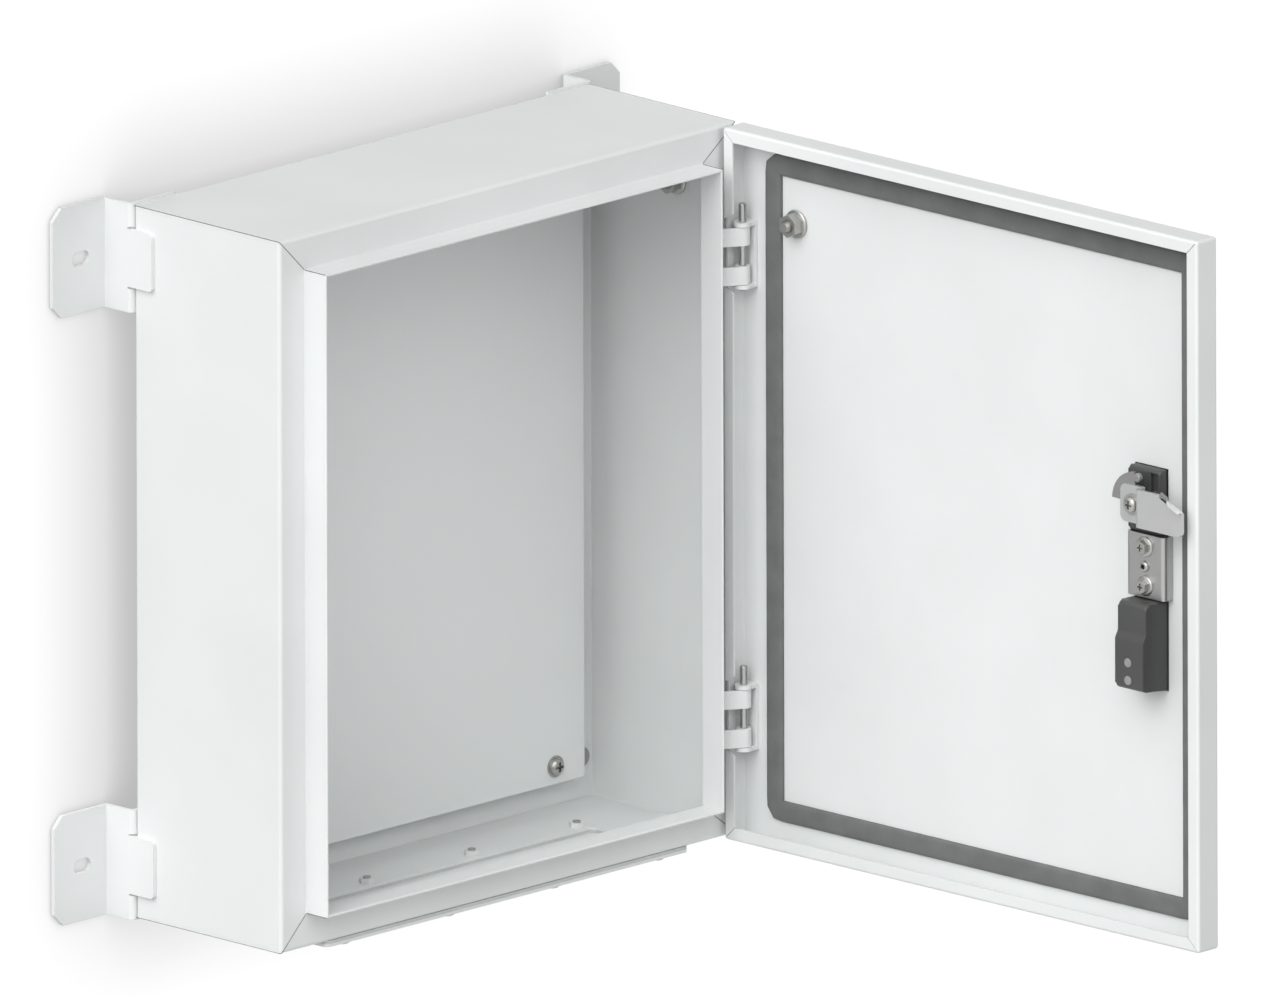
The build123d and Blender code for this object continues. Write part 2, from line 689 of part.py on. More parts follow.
def hinge_bracket(middle):
    """U bracket inside the door: web on the panel and an ear above and below the leaf."""
    ear_in = LEAF_H / 2 + EAR_GAP
    ear_out = ear_in + EAR_T
    near = SHEET + WEB_FROM_FLANGE
    far = HINGE_U + EAR_R - WEB_FROM_FLANGE
    ears = [(near, SHEET), (far, SHEET), (far, HINGE_DEPTH), (near, HINGE_DEPTH)]
    plan = outline([(ux(u), dy(d)) for u, d in ears]) + Pos(AXIS_X, AXIS_Y) * Circle(EAR_R)
    room = outline([(ux(near), dy(SHEET)), (ux(HINGE_U + EAR_R), dy(SHEET)),
                    (ux(HINGE_U + EAR_R), dy(HINGE_DEPTH + EAR_R)), (ux(near), dy(HINGE_DEPTH + EAR_R))])
    shape = prism_z((plan & room) - Pos(AXIS_X, AXIS_Y) * Circle(PIN_R), middle - ear_out, middle + ear_out)
    gap = door_block(near - PAST, HINGE_U + EAR_R + PAST, SHEET + WEB_T, HINGE_DEPTH + EAR_R + PAST,
                     middle - ear_in, middle + ear_in)
    return shape - gap


def hinge_pin(middle):
    reach = LEAF_H / 2 + EAR_GAP + EAR_T
    pin = rod_z(AXIS_X, AXIS_Y, PIN_R, middle - reach - PIN_BELOW, middle + reach + PIN_ABOVE)
    return chamfer(pin.edges().group_by(Axis.Z)[-1] + pin.edges().group_by(Axis.Z)[0], PIN_R / 4)


def make_hinges():
    for place, middle in zip(("upper", "lower"), HINGE_Z):
        keep("hinge_leaf_" + place, hinge_leaf(middle))
        keep("hinge_bracket_" + place, hinge_bracket(middle), on_door=True)
        keep("hinge_pin_" + place, hinge_pin(middle), on_door=True)


# Door

def door_panel():
    """Pan-shaped door with returned lips, mitred corners, hinge notches and the lock cut-out."""
    high = DOOR_H / 2
    skin = door_block(0, DOOR_W, 0, DOOR_DEPTH, -high, high)
    skin = fillet(skin.edges(), DOOR_CORNER)
    hollow = door_block(SHEET, DOOR_W - SHEET, SHEET, DOOR_DEPTH - SHEET, -high + SHEET, high - SHEET)
    skin -= fillet(hollow.edges(), DOOR_CORNER - SHEET)
    skin -= door_block(DOOR_LIP, DOOR_W - DOOR_LIP, DOOR_DEPTH - 2 * SHEET, DOOR_DEPTH + PAST,
                       -high + DOOR_LIP, high - DOOR_LIP)
    slit = Box(DOOR_LIP * math.sqrt(2), 2 * SHEET, MITRE_SLIT)
    inset = SHEET + DOOR_LIP / 2
    for side, u in ((1, inset), (-1, DOOR_W - inset)):
        for end in (-1, 1):
            place = Pos(ux(u), dy(DOOR_DEPTH), end * (high - inset))
            skin -= place * Rot(0, -end * side * 45, 0) * slit
    for middle in HINGE_Z:
        centre = middle + LIP_CUT_RISE
        low, top = centre - LIP_CUT_H / 2, centre + LIP_CUT_H / 2
        near, far = low + LIP_CUT_CHAMFER, top - LIP_CUT_CHAMFER
        past_lip = DOOR_LIP + PAST
        cut = [(-PAST, near), (SHEET, near), (DOOR_LIP, low), (past_lip, low),
               (past_lip, top), (DOOR_LIP, top), (SHEET, far), (-PAST, far)]
        skin -= door_plate(cut, FLANGE_CUT_DEPTH, DOOR_DEPTH + PAST)
    half = LOCK_HALF_W + CUTOUT_GAP
    hole = door_block(LOCK_U - half, LOCK_U + half, -PAST, SHEET + PAST,
                      LOCK_BOTTOM - CUTOUT_GAP, LOCK_TOP + CUTOUT_GAP)
    return skin - hole


def gasket_area(grow, corner):
    """Block under the gasket's middle line, grown by half its width to either side."""
    near, far = GASKET_FROM_HINGE - grow, DOOR_W - GASKET_FROM_FREE + grow
    end = DOOR_H / 2 - GASKET_FROM_END + grow
    corners = [(near, -end, corner), (far, -end, corner), (far, end, corner), (near, end, corner)]
    return door_plate(corners, SHEET, SHEET + GASKET_H)


def gasket_ring():
    """Rounded foam bead on the panel, run as a closed ring."""
    half = GASKET_W / 2
    bead = gasket_area(half, GASKET_CORNER) - gasket_area(-half, GASKET_CORNER - half)
    return fillet(edges_level(bead, SHEET + GASKET_H), GASKET_CROWN)


def make_door():
    keep("door_panel", door_panel(), on_door=True)
    keep("door_gasket", gasket_ring(), on_door=True)
    stud, nut = stud_pair()
    place = Pos(ux(DOOR_STUD_U), dy(SHEET), DOOR_STUD_Z) * Rot(-90, 0, 0)
    keep("door_earth_stud", place * stud, on_door=True)
    keep("door_earth_nut", place * nut, on_door=True)


# Lock: the pieces fixed to the door

def lock_body():
    """Lock case through the door: tall case round the spindle and a low bridge under the clamp."""
    left, right = LOCK_U - LOCK_HALF_W, LOCK_U + LOCK_HALF_W
    case = door_block(left + UPPER_INSET, right, -SEAL_T, UPPER_DEPTH, UPPER_BOTTOM, LOCK_TOP)
    corner = edges_at(case, Axis.Y, ux(left + UPPER_INSET), LOCK_TOP)
    corner += edges_at(case, Axis.Y, ux(left + UPPER_INSET), UPPER_BOTTOM)
    case = fillet(corner, UPPER_ROUND)
    case = fillet(edges_level(case, UPPER_DEPTH), UPPER_EDGE)
    under = door_block(left, right, -SEAL_T, SHEET, LOCK_BOTTOM, CLAMP_BOTTOM)
    bridge = door_block(left, right, -SEAL_T, CLAMP_DEPTH - CLAMP_T, CLAMP_BOTTOM, UPPER_BOTTOM)
    shoulder = door_block(left, right, -SEAL_T, SHOULDER_DEPTH, UPPER_BOTTOM, LOCK_TOP)
    case += under + bridge + shoulder
    case -= door_rod(LOCK_U, SPINDLE_Z, SPINDLE_R + SPINDLE_FIT, -SEAL_T, UPPER_DEPTH)
    for z in CLAMP_SCREW_Z:
        case -= door_rod(LOCK_U, z, CLAMP_SCREW_R, CLAMP_DEPTH - CLAMP_SCREW_LEN, CLAMP_DEPTH)
    return case - door_rod(LOCK_U, CENTRE_SCREW_Z, CENTRE_SCREW_SHANK_R, SHEET, CLAMP_DEPTH)


def electronics_housing():
    """Deep lower housing with a sloped step and two screw seats."""
    right, left = LOCK_U + LOCK_HALF_W, LOCK_U - LOCK_HALF_W
    side = [(SHEET, LOWER_TOP), (LOWER_DEPTH, LOWER_TOP, HOUSING_ROUND),
            (LOWER_DEPTH, LOWER_STEP_TOP, LOWER_STEP_ROUND),
            (LOWER_DEEP, LOWER_STEP_BOTTOM, LOWER_STEP_ROUND),
            (LOWER_DEEP, LOCK_BOTTOM + LOWER_SLOPE, HOUSING_ROUND), (SHEET, LOCK_BOTTOM)]
    profile = outline([(dy(p[0]),) + tuple(p[1:]) for p in side])
    case = prism_x(profile, ux(right), ux(left))
    long_edges = []
    for edge in case.edges():
        mid = edge @ 0.5
        on_side = abs(abs(mid.X - ux(LOCK_U)) - LOCK_HALF_W) < 0.01
        if on_side and mid.Y > dy(LOWER_DEPTH - HOUSING_ROUND):
            long_edges.append(edge)
    case = fillet(long_edges, HOUSING_ROUND)
    screw_u = LOCK_U - HOUSING_SCREW_SHIFT
    for z in HOUSING_SCREW_Z:
        case -= door_rod(screw_u, z, HOUSING_SCREW_R, LOWER_DEEP - HOUSING_SCREW_SUNK, LOWER_DEEP + PAST)
        case -= door_rod(screw_u, z, HOUSING_SCREW_SHANK_R, LOWER_DEEP - HOUSING_SCREW_LEN, LOWER_DEEP)
    return case


def clamp_channel():
    """U-channel over the lock, its flanges standing on the panel."""
    left, right = LOCK_U - CLAMP_HALF_W, LOCK_U + CLAMP_HALF_W
    outer = door_block(left, right, SHEET, CLAMP_DEPTH, CLAMP_BOTTOM, CLAMP_TOP)
    bends = edges_at(outer, Axis.Z, ux(left), dy(CLAMP_DEPTH))
    bends += edges_at(outer, Axis.Z, ux(right), dy(CLAMP_DEPTH))
    outer = fillet(bends, CLAMP_BEND)
    inner = door_block(left + CLAMP_T, right - CLAMP_T, SHEET - PAST, CLAMP_DEPTH - CLAMP_T,
                       CLAMP_BOTTOM - PAST, CLAMP_TOP + PAST)
    bends = edges_at(inner, Axis.Z, ux(left + CLAMP_T), dy(CLAMP_DEPTH - CLAMP_T))
    bends += edges_at(inner, Axis.Z, ux(right - CLAMP_T), dy(CLAMP_DEPTH - CLAMP_T))
    channel = outer - fillet(bends, CLAMP_BEND - CLAMP_T)
    for z in CLAMP_SCREW_Z:
        channel -= door_rod(LOCK_U, z, CLAMP_SCREW_R, SHEET, CLAMP_DEPTH + PAST)
    return channel - door_rod(LOCK_U, CENTRE_SCREW_Z, CENTRE_SCREW_SHANK_R, SHEET, CLAMP_DEPTH + PAST)


def clamp_screw(z):
    """Hexagon flange screw."""
    flange = door_rod(LOCK_U, z, CLAMP_FLANGE_R, CLAMP_DEPTH, CLAMP_DEPTH + CLAMP_FLANGE_H)
    top = CLAMP_DEPTH + CLAMP_FLANGE_H
    head = hex_y(ux(LOCK_U), z, CLAMP_HEX_AF, dy(top), dy(top + CLAMP_HEX_H))
    shank = door_rod(LOCK_U, z, CLAMP_SCREW_R, CLAMP_DEPTH - CLAMP_SCREW_LEN, CLAMP_DEPTH)
    return flange + head + shank


def centre_screw():
    """Small hollow set screw between the clamp screws."""
    top = CLAMP_DEPTH + CENTRE_SCREW_H
    head = door_rod(LOCK_U, CENTRE_SCREW_Z, CENTRE_SCREW_R, CLAMP_DEPTH, top)
    head = chamfer(edges_level(head, top), CENTRE_SCREW_CHAMFER)
    shank = door_rod(LOCK_U, CENTRE_SCREW_Z, CENTRE_SCREW_SHANK_R, SHEET, CLAMP_DEPTH)
    return head + shank - door_rod(LOCK_U, CENTRE_SCREW_Z, CENTRE_SCREW_HOLE_R, CLAMP_DEPTH, top + PAST)


def housing_screw(z):
    """Flat round screw of the electronics housing."""
    u = LOCK_U - HOUSING_SCREW_SHIFT
    seat = LOWER_DEEP - HOUSING_SCREW_SUNK
    head = door_rod(u, z, HOUSING_SCREW_R, seat, LOWER_DEEP + HOUSING_SCREW_PROUD)
    return head + door_rod(u, z, HOUSING_SCREW_SHANK_R, LOWER_DEEP - HOUSING_SCREW_LEN, seat)


def base_outline(inset, low, high, corner):
    """Outline of the handle base in u and z."""
    half = BASE_HALF_W - inset
    return [(LOCK_U - half, low + inset, corner), (LOCK_U + half, low + inset, corner),
            (LOCK_U + half, high - inset, corner), (LOCK_U - half, high - inset, corner)]


def handle_base():
    """Outer base of the handle with the raised reader head below the lever."""
    base = door_plate(base_outline(0, BASE_BOTTOM, BASE_TOP, BASE_CORNER), BASE_OUT, -SEAL_T)
    base = fillet(edges_level(base, BASE_OUT), BASE_ROUND)
    head = base_outline(BASE_ROUND, BASE_BOTTOM, HEAD_TOP + BASE_ROUND, BASE_CORNER - BASE_ROUND)
    head = door_plate(head, HEAD_OUT, BASE_OUT)
    base += fillet(edges_level(head, HEAD_OUT), HEAD_ROUND)
    base -= door_rod(LOCK_U, SPINDLE_Z, SPINDLE_R + SPINDLE_FIT, BASE_OUT - PAST, 0)
    base -= door_rod(LOCK_U, CYL_Z, CYL_R, HEAD_OUT - PAST, 0)
    return base - reader_block(HEAD_OUT - PAST)


def reader_block(out):
    """The reader window, from a depth outside the head to its seat."""
    return door_block(LOCK_U - READER_HALF_W, LOCK_U + READER_HALF_W, out, HEAD_OUT + READER_T,
                      READER_Z - READER_HALF_H, READER_Z + READER_HALF_H)


def make_lock():
    keep("lock_body", lock_body(), on_door=True)
    keep("electronics_housing", electronics_housing(), on_door=True)
    keep("clamp_channel", clamp_channel(), on_door=True)
    keep("clamp_screws", group([clamp_screw(z) for z in CLAMP_SCREW_Z]), on_door=True)
    keep("clamp_centre_screw", centre_screw(), on_door=True)
    keep("housing_screws", group([housing_screw(z) for z in HOUSING_SCREW_Z]), on_door=True)
    seal = door_plate(base_outline(SEAL_INSET, BASE_BOTTOM, BASE_TOP, BASE_CORNER - SEAL_INSET), -SEAL_T, 0)
    half = LOCK_HALF_W + SEAL_GAP
    seal -= door_block(LOCK_U - half, LOCK_U + half, -SEAL_T - PAST, PAST,
                       LOCK_BOTTOM - SEAL_GAP, LOCK_TOP + SEAL_GAP)
    keep("handle_seal", seal, on_door=True)
    keep("handle_base", handle_base(), on_door=True)
    window = reader_block(HEAD_OUT - READER_PROUD)
    keep("reader_window", fillet(window.edges().filter_by(Axis.Y), READER_CORNER), on_door=True)
    barrel_out = HEAD_OUT - CYL_PROUD
    barrel = door_rod(LOCK_U, CYL_Z, CYL_R, barrel_out, -SEAL_T)
    barrel -= door_rod(LOCK_U, CYL_Z, KEY_PLUG_R + KEY_PLUG_FIT, barrel_out - PAST, -SEAL_T - 2 * RUN_GAP)
    keep("cylinder_barrel", barrel, on_door=True)
    plug_out = barrel_out - KEY_PLUG_PROUD
    plug = door_rod(LOCK_U, CYL_Z, KEY_PLUG_R, plug_out, -SEAL_T - 3 * RUN_GAP)
    plug -= door_block(LOCK_U - KEYWAY_W / 2, LOCK_U + KEYWAY_W / 2, plug_out - PAST, HEAD_OUT + KEYWAY_DEEP,
                       CYL_Z - KEYWAY_H / 2, CYL_Z + KEYWAY_H / 2)
    keep("cylinder_plug", plug, on_door=True)


# Lock: the pieces that turn with the handle

def spindle():
    """Rotor disc with its lug outside, round shaft through the lock and square end inside."""
    shaft = door_rod(LOCK_U, SPINDLE_Z, SPINDLE_R, BASE_OUT - RUN_GAP, UPPER_DEPTH)
    square_end = HUB_DEPTH + CAM_T
    half = SQUARE / 2
    square = door_block(LOCK_U - half, LOCK_U + half, UPPER_DEPTH, square_end,
                        SPINDLE_Z - half, SPINDLE_Z + half)
    disc_out = BASE_OUT - RUN_GAP - ROTOR_T
    disc = door_rod(LOCK_U, SPINDLE_Z, ROTOR_R, disc_out, BASE_OUT - RUN_GAP)
    lug = door_block(LOCK_U - LUG_HALF_W, LOCK_U + LUG_HALF_W, PIVOT_DEPTH, disc_out,
                     PIVOT_Z - LUG_R, PIVOT_Z + LUG_R)
    lug += rod_x(dy(PIVOT_DEPTH), PIVOT_Z, LUG_R, ux(LOCK_U - LUG_HALF_W), ux(LOCK_U + LUG_HALF_W))
    shape = shaft + square + disc + lug
    shape -= rod_x(dy(PIVOT_DEPTH), PIVOT_Z, PIVOT_R + PIN_FIT, ux(LOCK_U - ROTOR_R), ux(LOCK_U + ROTOR_R))
    screw_end = square_end - CAM_SCREW_LEN + CAM_WASHER_T
    return shape - door_rod(LOCK_U, SPINDLE_Z, CAM_SCREW_R, screw_end, square_end + PAST)


def square_hole(d0, d1):
    """Square socket that rides on the spindle."""
    half = SQUARE / 2 + SQUARE_FIT
    return door_block(LOCK_U - half, LOCK_U + half, d0, d1, SPINDLE_Z - half, SPINDLE_Z + half)


def stop_claw():
    """Sector plate keyed to the spindle, with an ear that carries the stop rivet."""
    start, end = math.radians(CLAW_START_DEG), math.radians(CLAW_END_DEG)

    def at(radius, angle):
        return ux(LOCK_U + radius * math.cos(angle)), SPINDLE_Z + radius * math.sin(angle)

    centre = at(0, 0)
    arc = ThreePointArc(at(CLAW_R, start), at(CLAW_R, (start + end) / 2), at(CLAW_R, end))
    sector = make_face(Line(centre, arc @ 0) + arc + Line(arc @ 1, centre))
    rivet_at = at(CLAW_R - RIVET_R, math.radians(RIVET_DEG))
    hub, ear = Pos(*centre) * Circle(CLAW_HUB_R), Pos(*rivet_at) * Circle(RIVET_R)
    plate = prism_y(sector + hub + ear, dy(CLAW_DEPTH), dy(HUB_DEPTH))
    rivet = Pos(rivet_at[0], dy(HUB_DEPTH), rivet_at[1]) * Rot(-90, 0, 0) * pan_head(RIVET_R, RIVET_H)
    return plate + rivet - square_hole(CLAW_DEPTH, HUB_DEPTH)


def cam():
    """Stepped cam: hub on the spindle, a step inward and the arm that runs behind the strip."""
    low, high = SPINDLE_Z - CAM_HALF_H, SPINDLE_Z + CAM_HALF_H
    left, step_u = LOCK_U - CAM_HUB_LEFT, LOCK_U + CAM_STEP
    hub_top, arm_top = HUB_DEPTH + CAM_T, CAM_DEPTH + CAM_T
    tight, wide = CAM_BEND, CAM_BEND + CAM_T
    fold = [(left, HUB_DEPTH), (step_u + CAM_T, HUB_DEPTH, wide), (step_u + CAM_T, CAM_DEPTH, tight),
            (CAM_TIP_U, CAM_DEPTH), (CAM_TIP_U, arm_top), (step_u, arm_top, wide),
            (step_u, hub_top, tight), (left, hub_top)]
    bar = prism_z(outline([(ux(p[0]), dy(p[1])) + tuple(p[2:]) for p in fold]), low, high)
    ramp_u = CAM_TIP_U - CAM_RAMP_RUN
    sheet = door_plate([(left, low, CAM_HUB_ROUND), (CAM_TIP_U, low, CAM_TIP_ROUND),
                        (CAM_TIP_U, high - CAM_RAMP_DROP), (ramp_u, high), (left, high, CAM_HUB_ROUND)],
                       HUB_DEPTH, arm_top)
    return (bar & sheet) - square_hole(HUB_DEPTH, hub_top)


def make_rotor():
    keep("handle_spindle", spindle(), on_door=True)
    keep("stop_claw", stop_claw(), on_door=True)
    keep("latch_cam", cam(), on_door=True)
    seat = HUB_DEPTH + CAM_T
    washer = door_rod(LOCK_U, SPINDLE_Z, CAM_WASHER_R, seat, seat + CAM_WASHER_T)
    top = seat + CAM_WASHER_T
    washer -= door_rod(LOCK_U, SPINDLE_Z, CAM_SCREW_R, seat - PAST, top + PAST)
    keep("cam_washer", washer, on_door=True)
    head = Pos(ux(LOCK_U), dy(top), SPINDLE_Z) * Rot(-90, 0, 0) * pan_head(CAM_HEAD_R, CAM_HEAD_H)
    shank = door_rod(LOCK_U, SPINDLE_Z, CAM_SCREW_R, top - CAM_SCREW_LEN, top)
    keep("cam_screw", head + shank, on_door=True)


# Swing lever

def swing_lever():
    """Hollow lever with a round nose on the pivot and a slot for the rotor lug."""
    out = LEVER_IN - LEVER_T
    nose_r = LEVER_T / 2
    left, right = LOCK_U - LEVER_HALF_W, LOCK_U + LEVER_HALF_W
    plan = [(LOCK_U - LEVER_TIP_HALF_W, LEVER_TIP, LEVER_TIP_CORNER),
            (LOCK_U + LEVER_TIP_HALF_W, LEVER_TIP, LEVER_TIP_CORNER), (right, PIVOT_Z), (left, PIVOT_Z)]
    bar = door_plate(plan, out, LEVER_IN)
    rim = [e for e in edges_level(bar, out) if (e @ 0.5).Z < PIVOT_Z - 0.01]
    bar = fillet(rim, LEVER_EDGE)
    slot_low = PIVOT_Z - LEVER_SLOT
    bar += rod_x(dy(PIVOT_DEPTH), PIVOT_Z, nose_r, ux(left), ux(right))
    half = LUG_HALF_W + LUG_GAP
    bar -= door_block(LOCK_U - half, LOCK_U + half, out - PAST, LEVER_IN + PAST, slot_low, PIVOT_Z + LEVER_T)
    inner = LEVER_TIP_HALF_W - LEVER_WALL
    bar -= door_block(LOCK_U - inner, LOCK_U + inner, LEVER_IN - LEVER_HOLLOW, LEVER_IN + PAST,
                      LEVER_TIP + LEVER_TIP_SOLID, slot_low - LEVER_WALL)
    return bar - rod_x(dy(PIVOT_DEPTH), PIVOT_Z, PIVOT_R, ux(left - PAST), ux(right + PAST))


def make_lever():
    keep("swing_lever", swing_lever(), on_door=True)
    pin = rod_x(dy(PIVOT_DEPTH), PIVOT_Z, PIVOT_R, ux(LOCK_U - LEVER_HALF_W), ux(LOCK_U + LEVER_HALF_W))
    keep("lever_pin", pin, on_door=True)


make_body()
make_wall_fixings()
make_mounting_plate()
make_body_earth()
make_hinges()
make_door()
make_lock()
make_rotor()
make_lever()

os.makedirs("parts", exist_ok=True)
for node, solid in SHAPES.items():
    export_step(solid, "parts/" + node + ".step")
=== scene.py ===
"""Looks of a wall-mounted access control enclosure with its door open, in metres."""

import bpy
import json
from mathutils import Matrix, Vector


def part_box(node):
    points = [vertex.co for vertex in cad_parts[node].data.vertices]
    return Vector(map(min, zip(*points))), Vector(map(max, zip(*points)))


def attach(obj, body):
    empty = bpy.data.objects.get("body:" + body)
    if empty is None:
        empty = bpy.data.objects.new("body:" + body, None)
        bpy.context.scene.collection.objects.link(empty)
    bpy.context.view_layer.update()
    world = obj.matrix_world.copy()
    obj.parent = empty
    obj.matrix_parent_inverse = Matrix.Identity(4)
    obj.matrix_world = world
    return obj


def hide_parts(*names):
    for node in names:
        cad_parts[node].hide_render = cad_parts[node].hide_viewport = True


bl_info = {
    "name": "Access Control Enclosure",
    "version": (1, 0, 0),
    "blender": (4, 5, 0),
    "location": "3D View > Sidebar > Enclosure",
    "description": "Builds the finish, fixings, gasket and studio of a wall-mounted enclosure",
    "category": "Object",
}

import json
import math

import bmesh
import bpy
from bpy.props import FloatProperty, FloatVectorProperty, IntProperty, PointerProperty
from mathutils import Matrix, Vector

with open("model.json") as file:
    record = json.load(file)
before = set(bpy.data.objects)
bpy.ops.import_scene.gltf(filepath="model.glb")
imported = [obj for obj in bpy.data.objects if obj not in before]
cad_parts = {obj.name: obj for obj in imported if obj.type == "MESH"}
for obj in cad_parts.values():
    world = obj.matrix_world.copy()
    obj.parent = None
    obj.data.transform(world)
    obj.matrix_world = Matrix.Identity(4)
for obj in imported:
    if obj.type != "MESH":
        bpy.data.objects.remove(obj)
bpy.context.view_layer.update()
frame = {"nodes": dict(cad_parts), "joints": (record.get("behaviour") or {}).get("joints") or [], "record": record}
NODES = frame["nodes"]
JOINTS = {joint["name"]: joint for joint in frame["joints"]}
BODY_OF = {node: body for body, nodes in frame["record"]["behaviour"]["bodies"].items() for node in nodes}
SLOT_OF = {part["node"]: part["material_slot"] for part in frame["record"]["subparts"]}
# The finish of a node is its slot's, apart from these
FINISH_OF = dict(SLOT_OF, gland_seal="seal_foam", gland_nuts="gland_paint", stop_claw="claw_steel",
                 housing_screws="disc_grey")
MM = 0.001
SAME_POINT, ABOVE_RIM = 1e-6, 1e-4
WHITE = (1, 1, 1, 1)

UP = Vector((0, 0, 1))
INTO_ROOM = Vector((0, -1, 0))
BODY_STUD_OUT = Vector((-1, 0, 0))
DOOR_IN = -Vector(JOINTS["handle_turn"]["axis"]).normalized()
DOOR_ALONG = Vector(JOINTS["lever_swing"]["axis"]).normalized()

# Surfaces and meshes
SMOOTH_BELOW = math.radians(24)
ARC_STEPS = 6
RIM_STEPS = 4
BLOTCH_RAMP = (0.3, 0.7)
SHINE_FINER = 8
RELIEF = 0.5
SOCKET_KINDS = {float: "NodeSocketFloat", Vector: "NodeSocketVector",
                bpy.types.Material: "NodeSocketMaterial"}

# Shapes of the small parts, as shares of their own sizes
RECESS_ARM, RECESS_HUB, RECESS_HUB_DEPTH = 0.22, 0.21, 1.2
HEXAGON_TURNED_ACROSS, HEXAGON_TURNED_HIGH = 1.015, 1.004
THREAD_RIDGE, THREAD_ROOT, THREAD_FREE, THREAD_START = 0.36, 1.3, 1.6, 0.9
HOLLOW_SHANK = 0.68
BORE_FLOOR, BORE_RING = 0.98, 0.5
DRILL_LONGER, DRILL_BELOW = 3.0, 0.8
BEAD_FLANK, BEAD_CROWN = 0.62, 0.45
FOAM_DIP, SEAM_DIP = 0.08, 0.35

# The cam's flap: its parts, each with its start, end and finish, and how it twists along its run. The root is
# painted in the darker claw steel as painted shade, and the ramp in a bright steel as a painted highlight; both
# stand in for how light falls on the one steel flap.
FLAP_PARTS = {"cam_flap_root": (0.03, 0.44, "claw_steel"), "cam_flap_ramp": (0.42, 0.98, "burnished_steel")}
FLAP_FLAT, FLAP_TURNED = math.radians(10), math.radians(100)
FLAP_TWIST_FROM, FLAP_TWIST_OVER = 0.22, 0.36
FLAP_STEPS, FLAP_RINGS = 8, 12

# Studio: each patch of light on the dome with its direction and its tightness, lamps and camera
SKY_PATCHES = {"high_left": ((-0.8, -0.15, 0.6), 6), "overhead": ((-0.4, -0.4, 0.8), 6),
               "front": ((0, -1, 0.1), 5), "below": ((0, 0, -1), 1)}
LAMP_TARGET = Vector((0, -0.15, 0))
LAMP_ACROSS = 1.6
CAMERA_BACK, CAMERA_REACH = 3, 20


# Sizes and colours that a user would change

def number(name, about, value, **limits):
    """A plain number property."""
    return FloatProperty(name=name, description=about, default=value, **limits)


def length(name, about, millimetres):
    """A length property in metres, with its default in millimetres."""
    return number(name, about, millimetres * MM, unit="LENGTH", precision=5)


def angle(name, about, degrees):
    """An angle property, with its default in degrees."""
    return number(name, about, math.radians(degrees), subtype="ANGLE")


def place(name, about, point):
    """A property for a point in metres."""
    return FloatVectorProperty(name=name, description=about, default=point, subtype="XYZ", unit="LENGTH")


def colour(name, about, value):
    """A colour property in linear red, green and blue."""
    return FloatVectorProperty(name=name, description=about, default=value, subtype="COLOR", min=0, max=1)


class EnclosureFinish(bpy.types.PropertyGroup):
    """Colours of the painted, coated, moulded and plated surfaces, and the colours of painted shade and painted
    highlight on a few pieces.
    """
    body_paint: colour("Body paint", "Light grey powder coat of the body", (0.745, 0.762, 0.760))
    door_paint: colour("Door paint", "Light grey powder coat of the door", (0.745, 0.762, 0.760))
    plate_coat: colour("Plate coat", "Coating of the mounting plate", (0.745, 0.762, 0.760))
    black_plastic: colour("Black plastic", "Moulded lock housings", (0.058, 0.060, 0.058))
    plug_plastic: colour("Plug plastic", "Sealing plugs in the back", (0.330, 0.335, 0.335))
    seal_foam: colour("Seal foam", "Pale seal of the gland plate", (0.560, 0.575, 0.570))
    joint_shade: colour("Joint shade", "Dark line in the open joints of the sheets", (0.160, 0.160, 0.160))
    # Painted shade: near black for the shade down the hollow screw's bore; the same colour serves the dark sheet
    # under the lock case
    bore_shade: colour("Bore shade", "Inside of the hollow screw", (0.012, 0.012, 0.012))
    disc_grey: colour("Disc grey", "Round screws of the electronics housing", (0.330, 0.332, 0.328))
    # The stop claw's own darker steel; the same colour also paints shade on the root of the cam's flap, where it
    # faces away from the light
    claw_steel: colour("Claw steel", "Stop claw behind the cam", (0.300, 0.302, 0.298))
    # Painted highlight: a bright copy of the cam's steel on the ramp of its flap, where the bent flap faces the
    # light
    burnished_steel: colour("Burnished steel", "Painted highlight on the ramp of the cam's flap", (0.860, 0.865, 0.860))
    foam: colour("Foam", "Door gasket and handle seal", (0.155, 0.160, 0.158))
    zinc: colour("Zinc", "Bright plated screws", (0.460, 0.456, 0.438))
    satin_steel: colour("Satin steel", "Clamp channel", (0.470, 0.472, 0.465))
    cam_steel: colour("Cam steel", "Cam and stop claw", (0.560, 0.565, 0.560))
    pin_steel: colour("Pin steel", "Hinge pins", (0.480, 0.480, 0.468))
    handle_black: colour("Handle black", "Coated casting of the handle", (0.035, 0.036, 0.036))
    window: colour("Window", "Gloss window of the reader", (0.008, 0.008, 0.009))
    chrome: colour("Chrome", "Key cylinder", (0.720, 0.720, 0.710))


